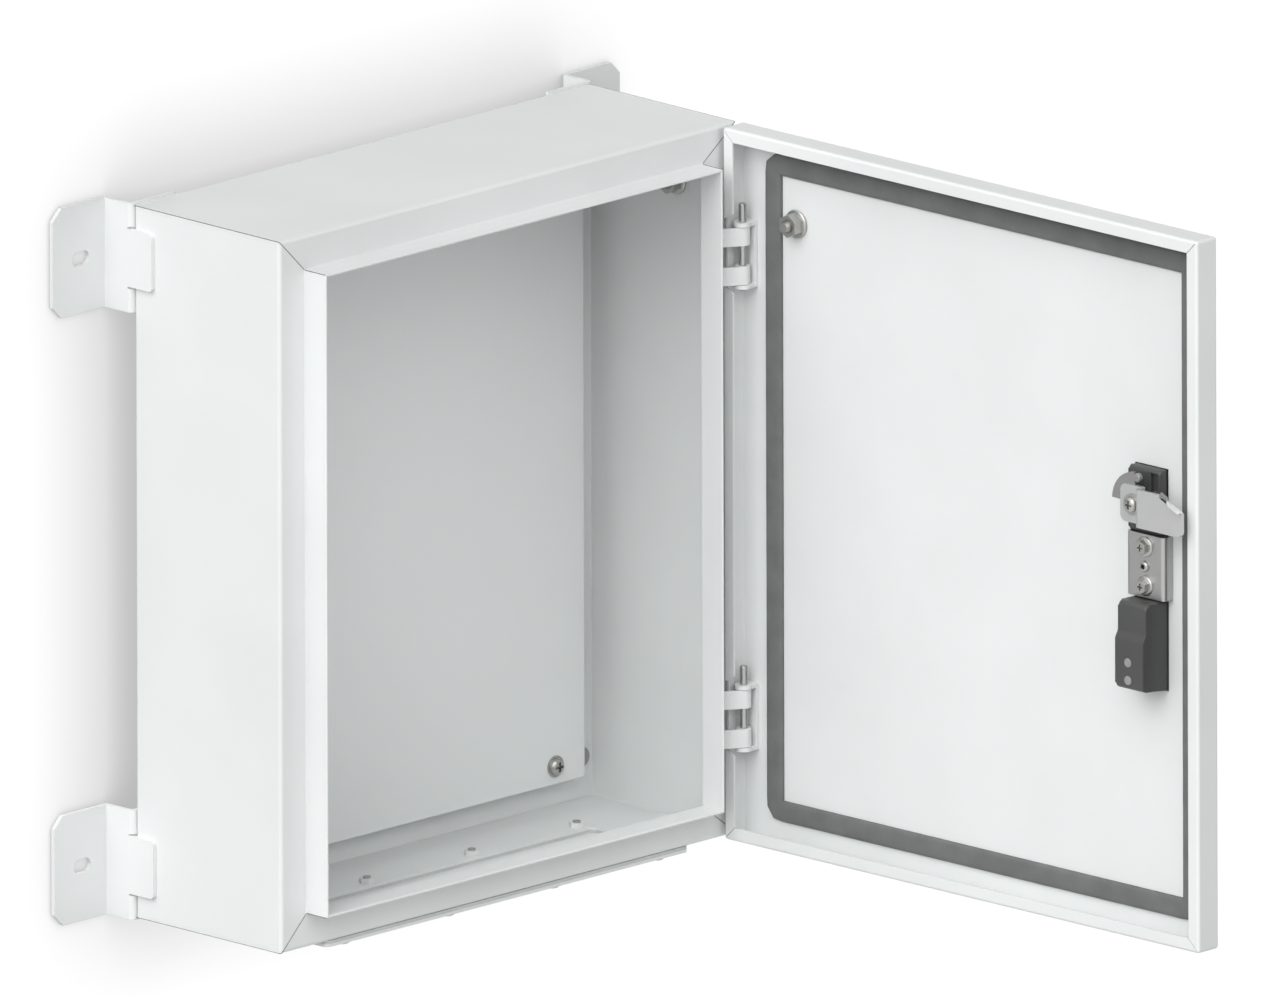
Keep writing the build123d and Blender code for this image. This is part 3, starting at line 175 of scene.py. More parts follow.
class EnclosureSizes(bpy.types.PropertyGroup):
    """Sizes of the fixings, gasket, seams and lock mouldings."""
    plate_head: length("Plate screw head", "Height of a mounting-plate screw's head", 3.4)
    bracket_head: length("Bracket screw head", "Height of a bracket screw's head", 3.2)
    gland_head: length("Gland screw head", "Height of a gland-plate screw's head", 2.6)
    cam_head: length("Cam screw head", "Height of the cam screw's head", 3.0)
    clamp_head: length("Clamp screw head", "Height of a clamp screw's head with its flange", 5.0)
    m6_shank: length("M6 radius", "Radius of an M6 screw", 3.0)
    m5_shank: length("M5 radius", "Radius of an M5 screw", 2.5)
    recess_share: number("Recess", "Cross recess across, as a share of the head", 0.56, min=0.2, max=0.8)
    hexagon: length("Clamp hexagon", "Clamp screw's hexagon across its flats", 8.0)
    clamp_flange: length("Clamp flange", "Height of the clamp screw's flange", 1.4)
    clamp_sheet: length("Clamp sheet", "Thickness of the clamp channel", 1.8)
    nut_hexagon: length("Nut hexagon", "Earth nut across its flats", 13.0)
    nut_flange: length("Nut flange", "Height of the earth nut's flange", 1.6)
    stud_radius: length("Stud radius", "Outer radius of the M8 thread", 4.0)
    stud_base: length("Stud base", "Height of the welded foot of an earth stud", 1.0)
    stud_end: length("Stud end", "Thread left showing above the earth nut", 3.4)
    thread_pitch: length("Thread pitch", "Rise of the M8 thread in one turn", 1.25)
    gasket_width: length("Gasket width", "Width of the foamed bead where it is laid", 11.5)
    gasket_spread: number("Gasket spread", "How much wider the bead foams up", 1.18, min=1, max=1.5)
    gasket_corner: length("Gasket corner", "Radius of the bead's outer corners", 9.0)
    seam_radius: length("Seam radius", "Radius of the sealed seam in the inner corners", 0.7)
    joint_radius: length("Joint radius", "Half width of the open joint between two sheets", 0.3)
    body_depth: length("Body depth", "Depth of the body from its back to its front strip", 126.0)
    strip_left: length("Left strip", "Front strip on the lock side", 22.2)
    strip_right: length("Right strip", "Front strip on the hinge side", 29.0)
    strip_across: length("Upper strip", "Front strip along the top and the bottom", 22.0)
    case_width: length("Case width", "Width of the lock case round the spindle", 27.2)
    case_depth: length("Case depth", "How far the lock case stands off the door sheet", 6.8)
    case_round: length("Case round", "Radius of the lock case's upper and lower edge", 2.4)
    case_seal: length("Case seal", "Thickness of the dark sheet under the lock case", 0.5)
    seal_proud: length("Seal proud", "How far the dark sheet shows past the lock case", 0.35)
    groove_width: length("Groove width", "Width of the groove in the lock case", 6.4)
    groove_depth: length("Groove depth", "Depth of the groove in the lock case", 2.8)
    groove_wall: length("Groove wall", "Wall left beside the groove", 1.9)
    groove_top: length("Groove top", "Case left above the groove", 2.2)
    housing_step: length("Housing step", "How much deeper the lower part of the housing is", 2.7)
    step_top: length("Step top", "Start of the housing's step below its top", 19.0)
    step_bottom: length("Step bottom", "End of the housing's step below its top", 23.5)
    housing_slope: length("Housing slope", "Rise of the housing's slanted underside", 3.0)
    housing_round: length("Housing round", "Radius of the housing's upper and lower edge", 3.4)
    moulded_edge: length("Moulded edge", "Radius of the long edges of the black mouldings", 1.5)
    disc_ring: length("Disc ring", "Radius of the ring in a housing screw", 1.9)
    centre_bore: length("Centre bore", "Radius of the hole in the centre screw", 1.6)
    centre_head: length("Centre head", "Height of the centre screw's head", 2.2)
    flap_run: length("Flap run", "Length of the slanted corner of the cam", 19.2)
    flap_drop: length("Flap drop", "Drop of the slanted corner of the cam", 8.7)
    flap_sheet: length("Flap sheet", "Thickness of the cam's twisted flap", 1.5)
    flap_bend: length("Flap bend", "Middle radius of the flap's bend", 1.3)
    flap_leg: length("Flap leg", "Straight part of the flap past its bend", 2.5)
    seed: IntProperty(name="Seed", description="Start of the random surface patterns", default=7)


class EnclosureStudio(bpy.types.PropertyGroup):
    """Camera, lamps and backdrop."""
    azimuth: angle("Azimuth", "Camera direction round the enclosure, 0 looks along +Y", -45.2736)
    elevation: angle("Elevation", "Camera direction above the horizon", 15.0931)
    roll: angle("Roll", "Turn of the camera about its own axis", -0.1553)
    shown_width: length("Shown width", "Width of the picture at the enclosure", 783.0)
    aim: place("Aim", "Point at the centre of the picture", (0.1181, -0.1442, 0.0012))
    front_power: number("Front lamp", "Power of the soft lamp in front", 10.7, min=0, unit="POWER")
    rear_power: number("Rear lamp", "Power of the soft lamp behind", 36.0, min=0, unit="POWER")
    front_place: place("Front lamp place", "Where the front lamp stands", (-0.3, -2.8, 1.9))
    rear_place: place("Rear lamp place", "Where the rear lamp stands", (1.6, 2.7, 0.1))
    high_left: number("High left", "Strength of the dome's patch high on the left", 4.14, min=0)
    overhead: number("Overhead", "Strength of the dome's patch over the camera", 0.62, min=0)
    front: number("Front", "Strength of the dome's patch in front", 0.84, min=0)
    below: number("Below", "Strength of the dome underfoot", 0.84, min=0)
    # Painted shade on the backdrop: an ambient-occlusion mask darkens its glow near the enclosure
    shade_depth: number("Shade depth", "How dark the shade on the backdrop gets", 0.6, min=0, max=1)
    wall_white: number("Wall white", "Strength of the open backdrop for the camera", 1.02, min=0)
    shade_reach: length("Shade reach", "How far from the enclosure the backdrop is shaded", 80.0)
    floor_drop: length("Floor drop", "Depth of the floor below the centre of the enclosure", 900.0)


# Node trees and materials

class Net:
    """A node tree whose nodes are added and linked by the names of their sockets."""

    def __init__(self, tree):
        self.tree = tree

    def feed(self, node, **inputs):
        """Set or link inputs, each named with underlines for spaces, or by an underline and its number."""
        for name, value in inputs.items():
            socket = node.inputs[int(name[1:]) if name[1:].isdigit() else name.replace("_", " ")]
            if isinstance(value, list):
                for one in value:
                    self.tree.links.new(one, socket)
            elif isinstance(value, bpy.types.NodeSocket):
                self.tree.links.new(value, socket)
            else:
                socket.default_value = value

    def add(self, kind, output=0, settings=None, **inputs):
        """Add a node, feed its inputs and return one output."""
        node = self.tree.nodes.new(kind)
        for name, value in (settings or {}).items():
            setattr(node, name, value)
        self.feed(node, **inputs)
        return node.outputs[output]

    def calc(self, operation, *values):
        """A number worked out from others."""
        return self.add("ShaderNodeMath", settings={"operation": operation},
                        **{f"_{i}": value for i, value in enumerate(values)})

    def times(self, first, second):
        """Two numbers multiplied."""
        return self.calc("MULTIPLY", first, second)

    def shown(self):
        """One for rays from the camera and in gloss and glass, and zero for light on the object."""
        path = self.add("ShaderNodeLightPath").node.outputs
        seen = self.calc("MAXIMUM", path["Is Camera Ray"], path["Is Glossy Ray"])
        return self.calc("MAXIMUM", seen, path["Is Transmission Ray"])


# Finishes: colour, how metallic, roughness from and to, spread and scale of the blotches, scale of the
# grain and its height in millimetres, then what differs from the defaults of surface()
POWDER_COAT = (0.0, (0.42, 0.5), 0.03, 9, 900, 0.02)
FINISHES = {
    "body_paint": ("body_paint", *POWDER_COAT, {"edge": 0.5}),
    "door_paint": ("door_paint", *POWDER_COAT, {"edge": 0.5}),
    "bracket_paint": ("body_paint", *POWDER_COAT, {"edge": 0.5}),
    "hinge_paint": ("door_paint", *POWDER_COAT, {"edge": 0.4}),
    "gland_paint": ("body_paint", *POWDER_COAT, {}),
    "plate_paint": ("plate_coat", 0.0, (0.36, 0.46), 0.02, 5, 900, 0.02, {}),
    "hinge_pin_steel": ("pin_steel", 1.0, (0.16, 0.3), 0.06, 60, 700, 0.01, {"stretch": (0.05, 0.05, 1)}),
    "spindle_zinc": ("pin_steel", 1.0, (0.25, 0.4), 0.05, 60, 1100, 0.01, {}),
    "zinc_screws": ("zinc", 1.0, (0.28, 0.4), 0.05, 120, 1800, 0.003, {"edge": 0.2}),
    "earth_steel": ("zinc", 1.0, (0.28, 0.4), 0.05, 110, 1600, 0.003, {}),
    "clamp_steel": ("satin_steel", 1.0, (0.3, 0.42), 0.04, 40, 1200, 0.006, {"stretch": (1, 1, 0.04)}),
    "cam_steel": ("cam_steel", 0.75, (0.38, 0.5), 0.03, 50, 1300, 0.01, {}),
    # Claw steel, also used as painted shade on the root of the cam's flap
    "claw_steel": ("claw_steel", 0.6, (0.38, 0.5), 0.04, 60, 1300, 0.01, {}),
    # Painted highlight on the ramp of the cam's flap, a bright copy of the cam's steel
    "burnished_steel": ("burnished_steel", 0.5, (0.3, 0.4), 0.03, 60, 1300, 0.005, {}),
    "cylinder_chrome": ("chrome", 1.0, (0.08, 0.16), 0.03, 70, 900, 0.004, {"edge": 0.2}),
    "disc_grey": ("disc_grey", 0.2, (0.4, 0.5), 0.05, 90, 1300, 0.006, {}),
    "lock_plastic": ("black_plastic", 0.0, (0.36, 0.48), 0.06, 30, 1700, 0.03, {"cells": True, "edge": 1.3}),
    "plug_plastic": ("plug_plastic", 0.0, (0.4, 0.5), 0.06, 60, 1500, 0.02, {"cells": True}),
    "lever_black": ("handle_black", 0.0, (0.3, 0.42), 0.08, 25, 1300, 0.02, {"edge": 0.6}),
    "reader_black": ("window", 0.0, (0.05, 0.1), 0.1, 20, 200, 0.002, {"coat": 0.6}),
    "gasket_foam": ("foam", 0.0, (0.75, 0.95), 0.10, 60, 1500, 0.09,
                    {"cells": True, "specular": 0.25, "edge": 0.8}),
    "seal_foam": ("seal_foam", 0.0, (0.75, 0.9), 0.05, 60, 1500, 0.05, {"cells": True}),
    "joint_shade": ("joint_shade", 0.0, (0.8, 0.9), 0.1, 60, 900, 0.01, {}),
    # Painted shade down the hollow screw's bore, and the dark sheet under the lock case
    "bore_shade": ("bore_shade", 0.0, (0.7, 0.9), 0.1, 60, 900, 0.01, {}),
}


def surface(name, base, metallic, roughness, spread, blotch, grain, height, stretch=(1, 1, 1), edge=0.3,
            specular=0.5, coat=0.0, cells=False):
    """Principled material with blotchy colour, uneven roughness, fine grain and softened edges."""
    material = bpy.data.materials.new(name)
    material.use_nodes = True
    net = Net(material.node_tree)
    spot = net.add("ShaderNodeTexCoord", "Object")
    patches = net.add("ShaderNodeTexNoise", "Fac", Scale=blotch, Detail=4, Vector=spot)
    tint = net.add("ShaderNodeValToRGB", "Color", Fac=patches)
    for element, at, share in zip(tint.node.color_ramp.elements, BLOTCH_RAMP, (1 - spread, 1 + spread)):
        element.position = at
        element.color = [min(1, channel * share) for channel in base] + [1]
    shine = net.add("ShaderNodeTexNoise", "Fac", Scale=blotch * SHINE_FINER, Detail=3, Vector=spot)
    rough = net.add("ShaderNodeMapRange", "Result", Value=shine, To_Min=roughness[0], To_Max=roughness[1])
    stretched = net.add("ShaderNodeMapping", "Vector", Vector=spot, Scale=stretch)
    kind = "ShaderNodeTexVoronoi" if cells else "ShaderNodeTexNoise"
    texture = net.add(kind, Scale=grain, Vector=stretched)
    softened = net.add("ShaderNodeBevel", settings={"samples": 4}, Radius=edge * MM)
    relief = net.add("ShaderNodeBump", Strength=RELIEF, Distance=height * MM, Height=texture,
                     Normal=softened)
    net.feed(material.node_tree.nodes["Principled BSDF"], Metallic=metallic, Specular_IOR_Level=specular,
             Coat_Weight=coat, Base_Color=tint, Roughness=rough, Normal=relief)
    return material


def material_for(finish):
    """The material of a finish, made when it is first asked for."""
    name = "enclosure_" + finish
    colour_name, *amounts, extras = FINISHES[finish]
    base = getattr(bpy.context.scene.enclosure_finish, colour_name)
    return bpy.data.materials.get(name) or surface(name, base, *amounts, **extras)


def dress(*nodes):
    """Give CAD nodes the material of their own finish."""
    for node in nodes:
        data = NODES[node].data
        data.materials.clear()
        data.materials.append(material_for(FINISH_OF[node]))


# Where the pieces are

def solids(node):
    """Points of each separate solid of a node."""
    bm = bmesh.new()
    bm.from_mesh(NODES[node].data)
    bmesh.ops.remove_doubles(bm, verts=bm.verts, dist=SAME_POINT)
    found, seen = [], set()
    for start in bm.verts:
        if start in seen:
            continue
        seen.add(start)
        island = [start]
        for vert in island:
            for edge in vert.link_edges:
                other = edge.other_vert(vert)
                if other not in seen:
                    seen.add(other)
                    island.append(other)
        found.append([vert.co.copy() for vert in island])
    bm.free()
    return found


def reach(points, axis):
    """Lowest and highest place of some points along an axis."""
    along = [point.dot(axis) for point in points]
    return min(along), max(along)


def across(axis):
    """Two directions square to an axis."""
    first = UP if abs(axis.z) < 0.5 else Vector((1, 0, 0))
    return first, axis.cross(first).normalized()


def half_width(points, axis):
    """Half of how wide some points are, square to an axis."""
    low, high = reach(points, across(axis)[0])
    return (high - low) / 2


def centred(points, axis, level):
    """The point at a level along an axis, in the middle of some points."""
    first, second = across(axis)
    return (first * (sum(reach(points, first)) / 2) + second * (sum(reach(points, second)) / 2)
            + axis * level)


def seats(node, axis, head_height):
    """Seat of each screw in a node, with its head's radius and the length below the seat."""
    found = solids(node)
    low, high = reach(found[0], axis)
    spots = [centred(points, axis, reach(points, axis)[1] - head_height) for points in found]
    return spots, half_width(found[0], axis), high - head_height - low


# Geometry node trees

class Tree(Net):
    """A geometry node tree, with an input for each named size, that turns points into finished pieces."""

    def __init__(self, name, inputs):
        super().__init__(bpy.data.node_groups.new(name, "GeometryNodeTree"))
        self.tree.is_modifier = True
        face = self.tree.interface
        face.new_socket(name="Geometry", in_out="INPUT", socket_type="NodeSocketGeometry")
        for label, value in inputs.items():
            face.new_socket(name=label, in_out="INPUT", socket_type=SOCKET_KINDS[type(value)])
        face.new_socket(name="Geometry", in_out="OUTPUT", socket_type="NodeSocketGeometry")
        self.start = self.tree.nodes.new("NodeGroupInput")

    def __getitem__(self, label):
        """The socket of a named input."""
        return self.start.outputs[label]

    def vector(self, x=0.0, y=0.0, z=0.0):
        """A vector from its parts."""
        return self.add("ShaderNodeCombineXYZ", X=x, Y=y, Z=z)

    def position(self):
        """The x, y and z of each point."""
        return self.add("ShaderNodeSeparateXYZ", _0=self.add("GeometryNodeInputPosition")).node.outputs

    def move(self, mesh, offset, turn=(0, 0, 0)):
        """A shape moved and turned."""
        return self.add("GeometryNodeTransform", Geometry=mesh, Translation=offset, Rotation=turn)

    def rod(self, radius, height, low=0.0, sides=40):
        """A closed cylinder that stands on a level."""
        rod = self.add("GeometryNodeMeshCylinder", Vertices=sides, Radius=radius, Depth=height)
        return self.move(rod, self.vector(z=self.calc("ADD", low, self.calc("DIVIDE", height, 2.0))))

    def dome(self, radius, height, squareness, sides=48):
        """A rounded head: flat below, with a rim that is squarer the higher the squareness."""
        ball = self.add("GeometryNodeMeshUVSphere", Segments=sides, Rings=sides // 2, Radius=1.0)
        x, y, z = self.position()
        flat = self.calc("SQRT", self.calc("ADD", self.times(x, x), self.times(y, y)))
        fall = self.calc("SUBTRACT", 1.0, self.calc("POWER", self.calc("MINIMUM", flat, 1.0), squareness))
        above = self.calc("GREATER_THAN", z, ABOVE_RIM)
        rise = self.times(self.times(self.calc("SQRT", fall), height), above)
        spot = self.vector(self.times(x, radius), self.times(y, radius), rise)
        shaped = self.add("GeometryNodeSetPosition", Geometry=ball, Position=spot)
        return self.add("GeometryNodeMergeByDistance", Geometry=shaped, Distance=SAME_POINT)

    def boolean(self, operation, **meshes):
        """A boolean of some shapes."""
        return self.add("GeometryNodeMeshBoolean", settings={"operation": operation, "solver": "EXACT"},
                        **meshes)

    def cut(self, mesh, tool):
        """A shape with a tool cut away."""
        return self.boolean("DIFFERENCE", _0=mesh, _1=tool)

    def fuse(self, *meshes):
        """Some shapes joined into one skin."""
        return self.boolean("UNION", _1=list(meshes))

    def cross(self, span, top):
        """A cross recess tool that goes down half its span."""
        wide = self.times(span, RECESS_ARM)
        parts = [self.add("GeometryNodeMeshCube", Size=self.vector(first, second, span))
                 for first, second in ((span, wide), (wide, span))]
        parts.append(self.add("GeometryNodeMeshCylinder", Vertices=16, Radius=self.times(span, RECESS_HUB),
                              Depth=self.times(span, RECESS_HUB_DEPTH)))
        return self.fuse(*[self.move(part, self.vector(z=top)) for part in parts])

    def hexagon(self, flats, height):
        """A hexagon bar with its upper corners turned off."""
        corner = self.calc("DIVIDE", flats, math.sqrt(3))
        turned = self.dome(self.times(corner, HEXAGON_TURNED_ACROSS), self.times(height, HEXAGON_TURNED_HIGH),
                           squareness=70.0, sides=64)
        return self.boolean("INTERSECT", _1=[self.rod(corner, height, sides=6), turned])

    def shank(self):
        """The plain bar below a screw's seat."""
        long = self["Shank Length"]
        return self.rod(self["Shank Radius"], long, self.times(long, -1.0), sides=24)

    def bead(self, path, radius, sides):
        """A closed bead along a path."""
        ring = self.add("GeometryNodeCurvePrimitiveCircle", Resolution=sides, Radius=radius)
        return self.add("GeometryNodeCurveToMesh", Curve=path, Profile_Curve=ring, Fill_Caps=True)

    def even_path(self, path, step):
        """A path with points at an even step."""
        return self.add("GeometryNodeResampleCurve", settings={"mode": "LENGTH"}, Curve=path, Length=step)

    def dip(self, mesh, depth, scale):
        """A skin that dips unevenly, up to a depth."""
        noise = self.add("ShaderNodeTexNoise", settings={"noise_dimensions": "4D"}, Scale=scale,
                         W=self["Seed"])
        offset = self.add("ShaderNodeVectorMath", settings={"operation": "SCALE"},
                          _0=self.add("GeometryNodeInputNormal"),
                          Scale=self.times(noise, self.times(depth, -1.0)))
        return self.add("GeometryNodeSetPosition", Geometry=mesh, Offset=offset)

    def set_out(self, *pieces):
        """Put the pieces on every point, their tops along the named axis, and finish the tree."""
        whole = self.add("GeometryNodeJoinGeometry", Geometry=list(pieces))
        turn = self.add("FunctionNodeAlignRotationToVector", settings={"axis": "Z"}, Vector=self["Axis"])
        self.finish(self.add("GeometryNodeInstanceOnPoints", Points=self["Geometry"], Instance=whole,
                             Rotation=turn))

    def finish(self, geometry):
        """End the tree in real geometry with its material."""
        real = self.add("GeometryNodeRealizeInstances", Geometry=geometry)
        done = self.add("GeometryNodeSetMaterial", Geometry=real, Material=self["Material"])
        self.feed(self.tree.nodes.new("NodeGroupOutput"), Geometry=done)


def cross_recess_screws(tree):
    """Pan-head screws with a cross recess."""
    height = tree["Head Height"]
    head = tree.dome(tree["Head Radius"], height, squareness=3.2)
    tree.set_out(tree.cut(head, tree.cross(tree["Recess Span"], height)), tree.shank())


def hexagon_flange_screws(tree):
    """Hexagon screws with a flange and a cross recess."""
    height = tree["Head Height"]
    flange = tree.dome(tree["Flange Radius"], tree["Flange Height"], squareness=6.0)
    bar = tree.cut(tree.hexagon(tree["Across Flats"], height), tree.cross(tree["Recess Span"], height))
    tree.set_out(flange, bar, tree.shank())


def hexagon_flange_nuts(tree):
    """Hexagon nuts with a flange and a bore."""
    height = tree["Height"]
    flange = tree.dome(tree["Flange Radius"], tree["Flange Height"], squareness=3.0)
    bar = tree.hexagon(tree["Across Flats"], height)
    bore = tree.rod(tree["Bore Radius"], tree.times(height, DRILL_LONGER), tree.times(height, -1.0), sides=32)
    tree.set_out(tree.cut(tree.fuse(flange, bar), bore))


def threaded_studs(tree):
    """Studs with a round foot, a core and a helical thread."""
    radius, long, pitch = tree["Radius"], tree["Length"], tree["Pitch"]
    ridge = tree.times(pitch, THREAD_RIDGE)
    core = tree.calc("SUBTRACT", radius, tree.times(ridge, THREAD_ROOT))
    foot = tree.dome(tree["Foot Radius"], tree["Foot Height"], squareness=5.0)
    bar = tree.dome(core, long, squareness=26.0)
    turns = tree.calc("DIVIDE", tree.calc("SUBTRACT", long, tree.times(pitch, THREAD_FREE)), pitch)
    middle = tree.calc("SUBTRACT", radius, ridge)
    helix = tree.add("GeometryNodeCurveSpiral", Resolution=32, Rotations=turns, Start_Radius=middle,
                     End_Radius=middle, Height=tree.times(turns, pitch))
    start = tree.vector(z=tree.times(pitch, THREAD_START))
    tree.set_out(foot, bar, tree.move(tree.bead(helix, ridge, sides=4), start))


def foamed_bead(tree):
    """Foamed bead swept round a closed path, with an uneven skin."""
    path = tree.add("GeometryNodeMeshToCurve", Mesh=tree["Geometry"])
    path = tree.add("GeometryNodeFilletCurve", settings={"mode": "POLY"}, Curve=path, Count=10,
                    Radius=tree["Corner"])
    path = tree.add("GeometryNodeSetCurveNormal", settings={"mode": "FREE"},
                    Curve=tree.even_path(path, step=0.004), Normal=tree["Axis"])
    ring = tree.add("GeometryNodeCurvePrimitiveCircle", Resolution=28, Radius=1.0)
    x, y = tree.position()[:2]
    side = tree.times(tree.calc("SIGN", y), tree.calc("POWER", tree.calc("ABSOLUTE", y), BEAD_FLANK))
    rise = tree.calc("POWER", tree.calc("MAXIMUM", x, 0.0), BEAD_CROWN)
    shape = tree.vector(tree.times(rise, tree["Height"]),
                        tree.times(side, tree.calc("DIVIDE", tree["Width"], 2.0)))
    profile = tree.add("GeometryNodeSetPosition", Geometry=ring, Position=shape)
    bead = tree.add("GeometryNodeCurveToMesh", Curve=path, Profile_Curve=profile)
    tree.finish(tree.dip(bead, tree["Waves"], scale=90.0))


def sealed_seams(tree):
    """Thin uneven bead of sealant along each edge of a frame."""
    path = tree.even_path(tree.add("GeometryNodeMeshToCurve", Mesh=tree["Geometry"]), step=0.002)
    bead = tree.bead(path, tree["Radius"], sides=8)
    tree.finish(tree.dip(bead, tree.times(tree["Radius"], SEAM_DIP), scale=220.0))


def ringed_discs(tree):
    """Flat round screws with a ring cut in their tops."""
    long, ring, wide = tree["Length"], tree["Ring Radius"], tree["Ring Width"]
    disc = tree.dome(tree["Radius"], long, squareness=30.0)
    low, tall = tree.calc("SUBTRACT", long, wide), tree.times(wide, 2.0)
    inner = tree.rod(tree.calc("SUBTRACT", ring, wide), tree.times(tall, 1.5), low)
    tree.set_out(tree.cut(disc, tree.cut(tree.rod(ring, tall, low), inner)))


def hollow_screws(tree):
    """Round-headed screws with a plain hole down the middle."""
    radius, long = tree["Head Radius"], tree["Length"]
    head = tree.dome(radius, tree["Head Height"], squareness=5.0)
    shank = tree.rod(tree.times(radius, HOLLOW_SHANK), long, tree.times(long, -1.0), sides=32)
    bore = tree.rod(tree["Bore Radius"], tree.times(long, DRILL_LONGER), tree.times(long, -DRILL_BELOW),
                    sides=32)
    tree.set_out(tree.cut(tree.fuse(head, shank), bore))


def grooved_case(tree):
    """The lock case with a groove cut down beside its outer wall."""
    box = tree.add("GeometryNodeMeshCube", Size=tree["Groove Size"])
    box = tree.move(box, tree["Groove Middle"], tree.vector(z=tree["Turn"]))
    tree.finish(tree.cut(tree["Geometry"], box))


# Pieces

def put(name, data):
    """A new object in the scene."""
    made = bpy.data.objects.new(name, data)
    bpy.context.scene.collection.objects.link(made)
    return made


def grow(name, build, points, edges, inputs, finish, start=None):
    """Run a tree on some points, or on a given mesh, and bring its result back as a plain mesh."""
    source = start or bpy.data.meshes.new(name + "_points")
    if not start:
        source.from_pydata(points, edges, [])
    holder = put(name + "_points", source)
    wanted = dict(inputs, Material=material_for(finish))
    group = bpy.data.node_groups.get(build.__name__)
    if not group:
        tree = Tree(build.__name__, wanted)
        build(tree)
        group = tree.tree
    modifier = holder.modifiers.new(build.__name__, "NODES")
    modifier.node_group = group
    for item in group.interface.items_tree:
        if item.in_out == "INPUT" and item.name in wanted:
            value = wanted[item.name]
            modifier[item.identifier] = tuple(value) if isinstance(value, Vector) else value
    bpy.context.view_layer.update()
    graph = bpy.context.evaluated_depsgraph_get()
    mesh = bpy.data.meshes.new_from_object(holder.evaluated_get(graph))
    mesh.name = name
    bpy.data.objects.remove(holder)
    if not mesh.polygons:
        raise RuntimeError(name + " came out empty")
    smooth(mesh)
    return put(name, mesh)


def smooth(mesh):
    """Round faces shade smoothly and corners stay crisp."""
    mesh.shade_smooth()
    mesh.set_sharp_from_angle(angle=SMOOTH_BELOW)


def show(name, mesh, finish):
    """Put a mesh in the scene with its finish."""
    mesh.materials.append(material_for(finish))
    smooth(mesh)
    return put(name, mesh)


def carry(piece, body):
    """Let an added piece move with a body."""
    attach(piece, body)


def stand_for(piece, node):
    """Hide the plain node that a piece stands for, and let the piece move with its body."""
    carry(piece, BODY_OF[node])
    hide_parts(node)


def fixings(name, build, node, points, inputs):
    """Replace a node of plain fixings by finer ones that a tree sets out on points."""
    stand_for(grow(name, build, points, [], inputs, FINISH_OF[node]), node)


def cross_screws(name, node, axis, head_height, shank):
    """Replace a node of plain screws by ones with a cross recess."""
    points, radius, below = seats(node, axis, head_height)
    span = 2 * radius * bpy.context.scene.enclosure_sizes.recess_share
    fixings(name, cross_recess_screws, node, points, {
        "Head Radius": radius, "Head Height": head_height, "Shank Radius": shank, "Shank Length": below,
        "Recess Span": span, "Axis": axis})


def earth_pair(where, axis):
    """Replace an earth stud and its nut by a threaded stud and a chamfered flange nut."""
    sizes = bpy.context.scene.enclosure_sizes
    stud, nut = solids(where + "_earth_stud")[0], solids(where + "_earth_nut")[0]
    low = reach(stud, axis)[0]
    nut_low, nut_high = reach(nut, axis)
    fixings(where + "_earth_stud_thread", threaded_studs, where + "_earth_stud", [centred(stud, axis, low)], {
        "Radius": sizes.stud_radius, "Length": nut_high + sizes.stud_end - low, "Pitch": sizes.thread_pitch,
        "Foot Radius": half_width(stud, axis), "Foot Height": sizes.stud_base, "Axis": axis})
    fixings(where + "_earth_flange_nut", hexagon_flange_nuts, where + "_earth_nut",
            [centred(stud, axis, nut_low)], {
                "Flange Radius": half_width(nut, axis), "Flange Height": sizes.nut_flange,
                "Height": nut_high - nut_low, "Across Flats": sizes.nut_hexagon,
                "Bore Radius": sizes.stud_radius, "Axis": axis})


def rounded(corners):
    """An outline whose corners, each a point and a radius, are turned into arcs."""
    outline = []
    for i, (corner, radius) in enumerate(corners):
        if not radius:
            outline.append(corner)
            continue
        before = (corners[i - 1][0] - corner).normalized()
        after = (corners[(i + 1) % len(corners)][0] - corner).normalized()
        half = before.angle(after) / 2
        centre = corner + (before + after).normalized() * radius / math.sin(half)
        start, stop = [(corner + way * radius / math.tan(half) - centre).normalized()
                       for way in (before, after)]
        outline += [centre + start.slerp(stop, step / ARC_STEPS) * radius for step in range(ARC_STEPS + 1)]
    return outline


def loft(bm, rings):
    """Join rings of points into a closed solid in a bmesh, and return its two end faces."""
    rows = [[bm.verts.new(point) for point in ring] for ring in rings]
    ends = [bm.faces.new(rows[0]), bm.faces.new(reversed(rows[-1]))]
    for near, far in zip(rows, rows[1:]):
        for i in range(len(near)):
            j = (i + 1) % len(near)
            bm.faces.new((near[i], far[i], far[j], near[j]))
    return ends


def solid_mesh(name, solids_of_rings, edge=0.0):
    """A mesh of closed solids; the rims of their ends are rounded where an edge radius is given."""
    mesh = bpy.data.meshes.new(name)
    whole = bmesh.new()
    for rings in solids_of_rings:
        bm = bmesh.new()
        ends = loft(bm, rings)
        if edge:
            rims = list({rim for face in ends for rim in face.edges})
            bmesh.ops.bevel(bm, geom=rims, offset=edge, segments=RIM_STEPS, profile=0.5, affect="EDGES",
                            clamp_overlap=True)
        bmesh.ops.recalc_face_normals(bm, faces=bm.faces)
        part = bpy.data.meshes.new(name + "_part")
        bm.to_mesh(part)
        bm.free()
        whole.from_mesh(part)
        bpy.data.meshes.remove(part)
    whole.to_mesh(mesh)
    whole.free()
    return mesh


def door_point(along, inward, height):
    """A point from its places along the door, inward from it and upward."""
    return DOOR_ALONG * along + DOOR_IN * inward + UP * height


def drawn(corners, left, right):
    """Rings of a side outline, given as inward place, height and radius, drawn across the lock."""
    outline = rounded([(door_point(left, inward, height), radius) for inward, height, radius in corners])
    return [outline, [point + DOOR_ALONG * (right - left) for point in outline]]


def slab(inward, heights, widths, soft=0.0):
    """Rings of a block on the door from its ends in each direction, with its inner corners rounded."""
    (seat, crown), (low, top) = inward, heights
    return drawn([(seat, low, 0), (crown, low, soft), (crown, top, soft), (seat, top, 0)], *widths)


